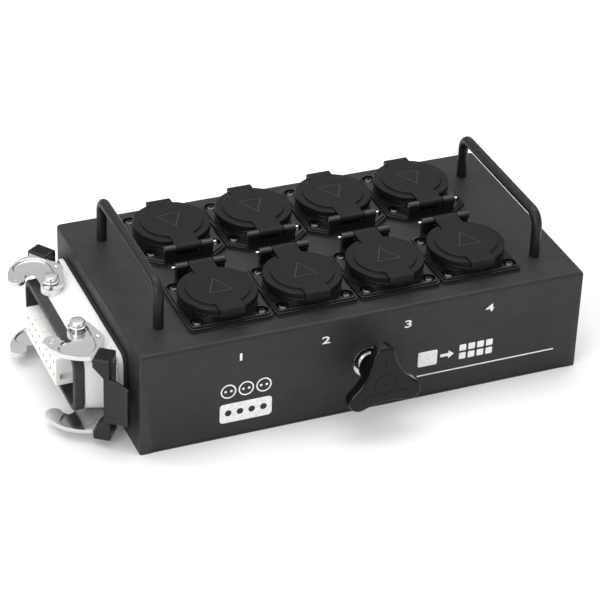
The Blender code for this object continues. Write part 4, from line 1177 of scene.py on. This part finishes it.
def make_print():
    for number, x in enumerate(NUMERAL_XS, 1):
        mesh = finished(numeral(str(number), x, NUMERAL_Z), "white_ink", 30)
        piece(mesh, f"numeral_{number}", "box")
    symbols = []
    rings = []
    for x in (-83, -72.5, -62):
        rings.append(printed_ring(x, 31, 4.6, 3.8))
        symbols += [arc((x + side * 1.7, 31), 0.8, 0, 360, 16)[:-1] for side in (-1, 1)]
    left = printed(symbols)
    plate = prism(rounded_rectangle((31, 12.6), 2.2, 6, (-72.5, 16.4)), 0, INK)
    for x in (-83, -76, -69, -62):
        cut(plate, cylinder(2.0, -1, 1, (x, 16.4), 24))
    moved(plate, on_front())
    mesh = finished(together(left, plate, *rings), "white_ink", 30)
    piece(mesh, "print_left", "box")
    shapes = [
        rounded_rectangle((12, 10), 1.0, 3, (38, 26)),
        [(46, 25), (51, 25), (51, 23.3), (54.5, 26), (51, 28.7), (51, 27), (46, 27)],
    ]
    for column in range(4):
        for row in range(2):
            shapes.append(rounded_rectangle((4.2, 4.2), 0.5, 2, (60 + 5.6 * column, 23.2 + 5.6 * row)))
    shapes.append([(32, 14.6), (119, 14.6), (119, 15.4), (32, 15.4)])
    piece(finished(printed(shapes), "white_ink", 30), "print_right", "box")


# Stage. The lights and the camera are in metres.

FLOOR_HALF = 6
CAMERA_AT = (-0.4902, -1.1195, 0.8055)
CAMERA_FORWARD = (0.33257, 0.77538, -0.53682)
CAMERA_RIGHT = (0.92626, -0.37558, 0.03133)
LENS_MM = 148.13
SENSOR_MM = 36


def make_stage():
    made = Finish("floor_paper", roughness=0.9, specular=0.1)
    made.colour(made.mix(made.noise(6, 2), (0.93, 0.93, 0.93, 1), (0.95, 0.95, 0.95, 1)))
    half = FLOOR_HALF
    floor = raw([(-half, -half, 0), (half, -half, 0), (half, half, 0), (-half, half, 0)], [(0, 1, 2, 3)])
    floor.name = "floor"
    floor.location.z = CAD_BOUNDS[0].z
    floor.data.materials.append(made.material)


def area_light(name, place, target, size, power):
    light = bpy.data.lights.new(name, "AREA")
    light.shape = "RECTANGLE"
    light.size, light.size_y = size
    light.energy = power
    obj = linked(light, name)
    obj.location = place
    obj.rotation_euler = (Vector(target) - Vector(place)).to_track_quat("-Z", "Y").to_euler()


def make_lights():
    world = bpy.data.worlds.new("studio")
    world.use_nodes = True
    tree = world.node_tree
    split = tree.nodes.new("ShaderNodeSeparateXYZ")
    tree.links.new(tree.nodes.new("ShaderNodeTexCoord").outputs["Generated"], split.inputs["Vector"])
    rise = tree.nodes.new("ShaderNodeMapRange")
    rise.interpolation_type = "SMOOTHSTEP"
    for key, number in (("From Min", 0.15), ("From Max", 0.95), ("To Min", 0.36), ("To Max", 1.15)):
        rise.inputs[key].default_value = number
    tree.links.new(split.outputs["Z"], rise.inputs["Value"])
    background = tree.nodes["Background"]
    background.inputs["Color"].default_value = (1, 1, 1, 1)
    tree.links.new(rise.outputs["Result"], background.inputs["Strength"])
    SCENE.world = world
    area_light("overhead", (0.1, 0.3, 1.6), (0, 0, 0), (1.6, 1.0), 10)
    area_light("front_left", (-1.5, -1.1, 0.9), (0, 0, 0.03), (1.0, 1.0), 15)
    area_light("edge", (-0.9, 0.5, 1.1), (0, 0, 0.05), (0.25, 0.25), 2)
    SCENE.view_settings.view_transform = "Standard"
    SCENE.view_settings.look = "None"


def make_camera():
    forward = Vector(CAMERA_FORWARD).normalized()
    right = Vector(CAMERA_RIGHT).normalized()
    up = right.cross(forward)
    camera = bpy.data.cameras.new("camera")
    camera.lens = LENS_MM
    camera.sensor_width = SENSOR_MM
    camera.clip_start = 0.01
    camera.clip_end = 50
    obj = linked(camera, "camera")
    turn = Matrix((right, up, -forward)).transposed().to_4x4()
    obj.matrix_world = Matrix.Translation(CAMERA_AT) @ turn
    SCENE.camera = obj


make_cover()
make_handles()
make_sockets()
make_inlet()
make_levers()
make_clamp()
make_print()
make_stage()
make_lights()
make_camera()

bpy.context.view_layer.update()
